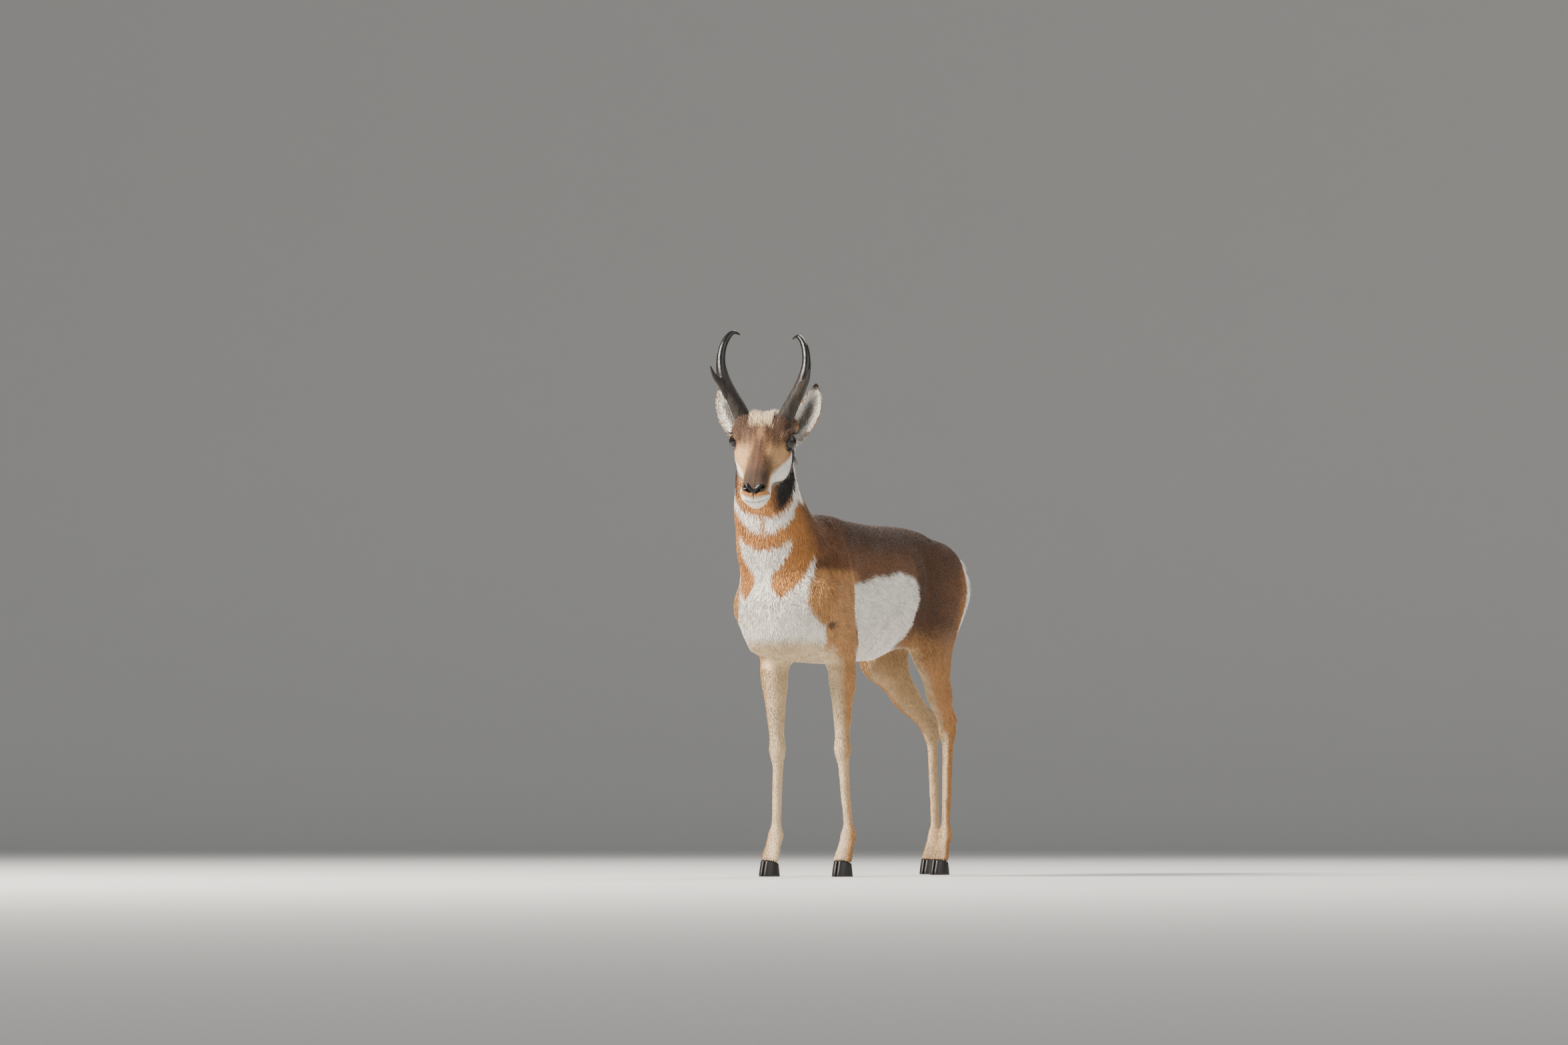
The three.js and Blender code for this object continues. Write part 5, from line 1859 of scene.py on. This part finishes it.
@dataclass
class Mane:
    """Long dark locks down the nape."""

    head: Head
    count: int = 900
    lengths: tuple[float, float] = (34.0, 62.0)
    widths: tuple[float, float] = (3.0, 5.0)
    half: float = 17.0

    def build(self, skin: bpy.types.Object) -> bpy.types.Object:
        """Plants the locks on the skin of the nape.

        Args:
            skin: The skin.

        Returns:
            The mane.
        """
        p, n = coords(skin), normals(skin)
        w = self.head.working(p)
        cx, cy = neck_middle(w[:, 2])
        nape = (w[:, 2] > 900) & (w[:, 2] < 1085) & (w[:, 1] > cy)
        nape &= np.abs(w[:, 0] - cx) < self.half
        chosen = np.nonzero(nape & (n[:, 1] > 0.6))[0]
        rng = np.random.default_rng(3)
        pick = rng.choice(chosen, min(self.count, len(chosen)), replace=False)
        way = np.array([0.0, 0.22, -1.0]) + rng.normal(0, 0.1, (len(pick), 3))
        normal = n[pick]
        way -= (way * normal).sum(1, keepdims=True) * normal
        long = rng.uniform(*self.lengths, len(pick))
        wide = rng.uniform(*self.widths, len(pick))
        c = Palette()
        middle = ramp(24, 6, np.abs(w[pick, 0] - cx[pick]))
        tone = c.brown + (c.black - c.brown) * (0.35 + 0.6 * middle)[:, None]
        tone = tone * rng.uniform(0.8, 1.3, len(pick))[:, None]
        lift = np.full(len(pick), 0.2)
        made = tufts("mane", p[pick], normal, unit(way), long, wide, lift, tone)
        spread = np.stack([0.5 + (w[pick, 0] - cx[pick]) / 60, (w[pick, 2] - 890) / 210], 1)
        unwrap_tufts(made, np.clip(spread, 0.003, 0.997))
        return made


# Stage


@dataclass
class Studio:
    """A round pale floor, soft light from the left and the photograph's view."""

    head: Head
    azimuth: float = math.radians(27.0)
    distance: float = 14.0
    eye_height: float = 0.116
    pitch: float = math.radians(3.0)
    focal_px: float = 8750.0
    width_px: float = 2352.0
    middle_px: float = 1214.5
    rim: float = 18.0
    sweep: float = 4.0
    wall: float = 9.0
    air: float = 0.34
    lamps: tuple[tuple[str, float, float, float, float, float, tuple[float, float, float]], ...] = (
        ("key", -34, 38, 7.0, 1.6, 1500, (1.0, 0.94, 0.85)),
        ("fill", 84, 26, 8.0, 5.0, 210, (0.9, 0.94, 1.0)),
        ("rim", 185, 50, 7.0, 3.0, 420, (1.0, 0.97, 0.92)),
    )

    def camera(self) -> None:
        """Sets the camera at the photograph's angle and framing."""
        data = bpy.data.cameras.new("view")
        data.lens = self.focal_px / self.width_px * 36.0
        data.clip_end = 200.0
        cam = bpy.data.objects.new("view", data)
        bpy.context.scene.collection.objects.link(cam)
        away = Vector((math.sin(self.azimuth), -math.cos(self.azimuth), 0))
        cam.location = Vector(self.head.shift) + self.distance * away
        cam.location.z = self.eye_height
        yaw = self.azimuth + math.atan((self.middle_px - self.width_px / 2) / self.focal_px)
        cam.rotation_euler = (math.pi / 2 + self.pitch, 0, yaw)
        bpy.context.scene.camera = cam

    def floor(self, grain: bpy.types.NodeTree) -> None:
        """A pale round floor whose far rim sweeps up to a low wall.

        Args:
            grain: The shared mottling group.
        """
        bend = np.linspace(0.1, math.pi / 2, 10)
        profile = [(0.5, 0.0), (4.0, 0.0), (10.0, 0.0), (self.rim, 0.0)]
        bow = self.sweep
        profile += [(self.rim + bow * math.sin(a), bow - bow * math.cos(a)) for a in bend]
        profile.append((self.rim + bow, self.wall))
        turn = arc(96)
        ring = np.stack([np.cos(turn), np.sin(turn), 0 * turn], 1)
        rings = [ring * reach + np.array([0, 0, height]) for reach, height in profile]
        verts, quads = tube(rings)
        made = make_object("sweep", verts, quads[: len(turn) * len(rings) - len(turn) // 2])
        made.data.materials.append(PALE_FLOOR.make(grain))

    def light(self) -> None:
        """Large soft lights: a warm key from the animal's right front, fill and rim."""
        centre = Vector((0, 0, 0.75))
        for name, azimuth, elevation, reach, size, power, tint in self.lamps:
            data = bpy.data.lights.new(name, "AREA")
            data.size = size
            data.energy = power
            data.color = tint
            lamp = bpy.data.objects.new(name, data)
            a, e = math.radians(azimuth), math.radians(elevation)
            way = Vector((math.sin(a) * math.cos(e), -math.cos(a) * math.cos(e), math.sin(e)))
            lamp.location = centre + way * reach
            lamp.rotation_euler = (centre - lamp.location).to_track_quat("-Z", "Y").to_euler()
            bpy.context.scene.collection.objects.link(lamp)
        world = bpy.data.worlds.new("air")
        world.use_nodes = True
        sky = world.node_tree.nodes["Background"]
        sky.inputs["Color"].default_value = (0.78, 0.82, 0.88, 1)
        sky.inputs["Strength"].default_value = self.air
        bpy.context.scene.world = world


# The whole


def feet(finish: bpy.types.Material) -> None:
    """Puts both claws under each leg, over their solids.

    Args:
        finish: The claws' material.
    """
    for limb in ("foreleg", "hindleg"):
        for side in Side:
            for which, outwards in (("outer", side.value), ("inner", -side.value)):
                node = f"{limb}_{side.word}_hoof_{which}"
                low, high = (HEAD.working(np.array(v)[None])[0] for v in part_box(node))
                middle = low[0] - 1.2 if outwards > 0 else high[0] + 1.2
                claw = Hoof(node, outwards, np.array([middle, high[1] + 9, 0])).build()
                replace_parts(dress(claw, finish), node)


def main() -> None:
    """Builds and dresses every piece."""
    logging.basicConfig(level=logging.INFO, format="%(name)s %(message)s")
    grain = grain_group()
    hide_look = HIDE.make(grain)
    hair_look = HAIR.make(grain)
    eye_look = EYE_GLOSS.make(grain)
    lid_look = LID_SKIN.make(grain)
    horn_look = HORN_SHEATH.make(grain)
    hoof_look = HOOF_HORN.make(grain)
    markings = Markings(HEAD)
    studio = Studio(HEAD)
    studio.camera()
    studio.floor(grain)
    studio.light()

    skin = Skin(HEAD, markings)
    hide = dress(skin.build(), hide_look)
    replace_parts(hide, *skin.parts)
    for piece in Coat(HEAD, markings).build(hide):
        dress(piece, hair_look)
    dress(Mane(HEAD).build(hide), hair_look)
    for side in Side:
        ear = Ear(HEAD, side)
        leaf = dress(ear.build(), hide_look)
        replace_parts(leaf, f"ear_{side.word}")
        dress(ear.fur(leaf), hair_look)
        eye = Eye(HEAD, side)
        ball = dress(eye.ball(), eye_look)
        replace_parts(ball, f"eye_{side.word}")
        dress(eye.lids(), lid_look)
        dress(eye.lashes(), lid_look)
        sheath = dress(Horn(HEAD, side).build(), horn_look)
        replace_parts(sheath, f"horn_{side.word}")
    feet(hoof_look)


if __name__ == "__main__":
    main()
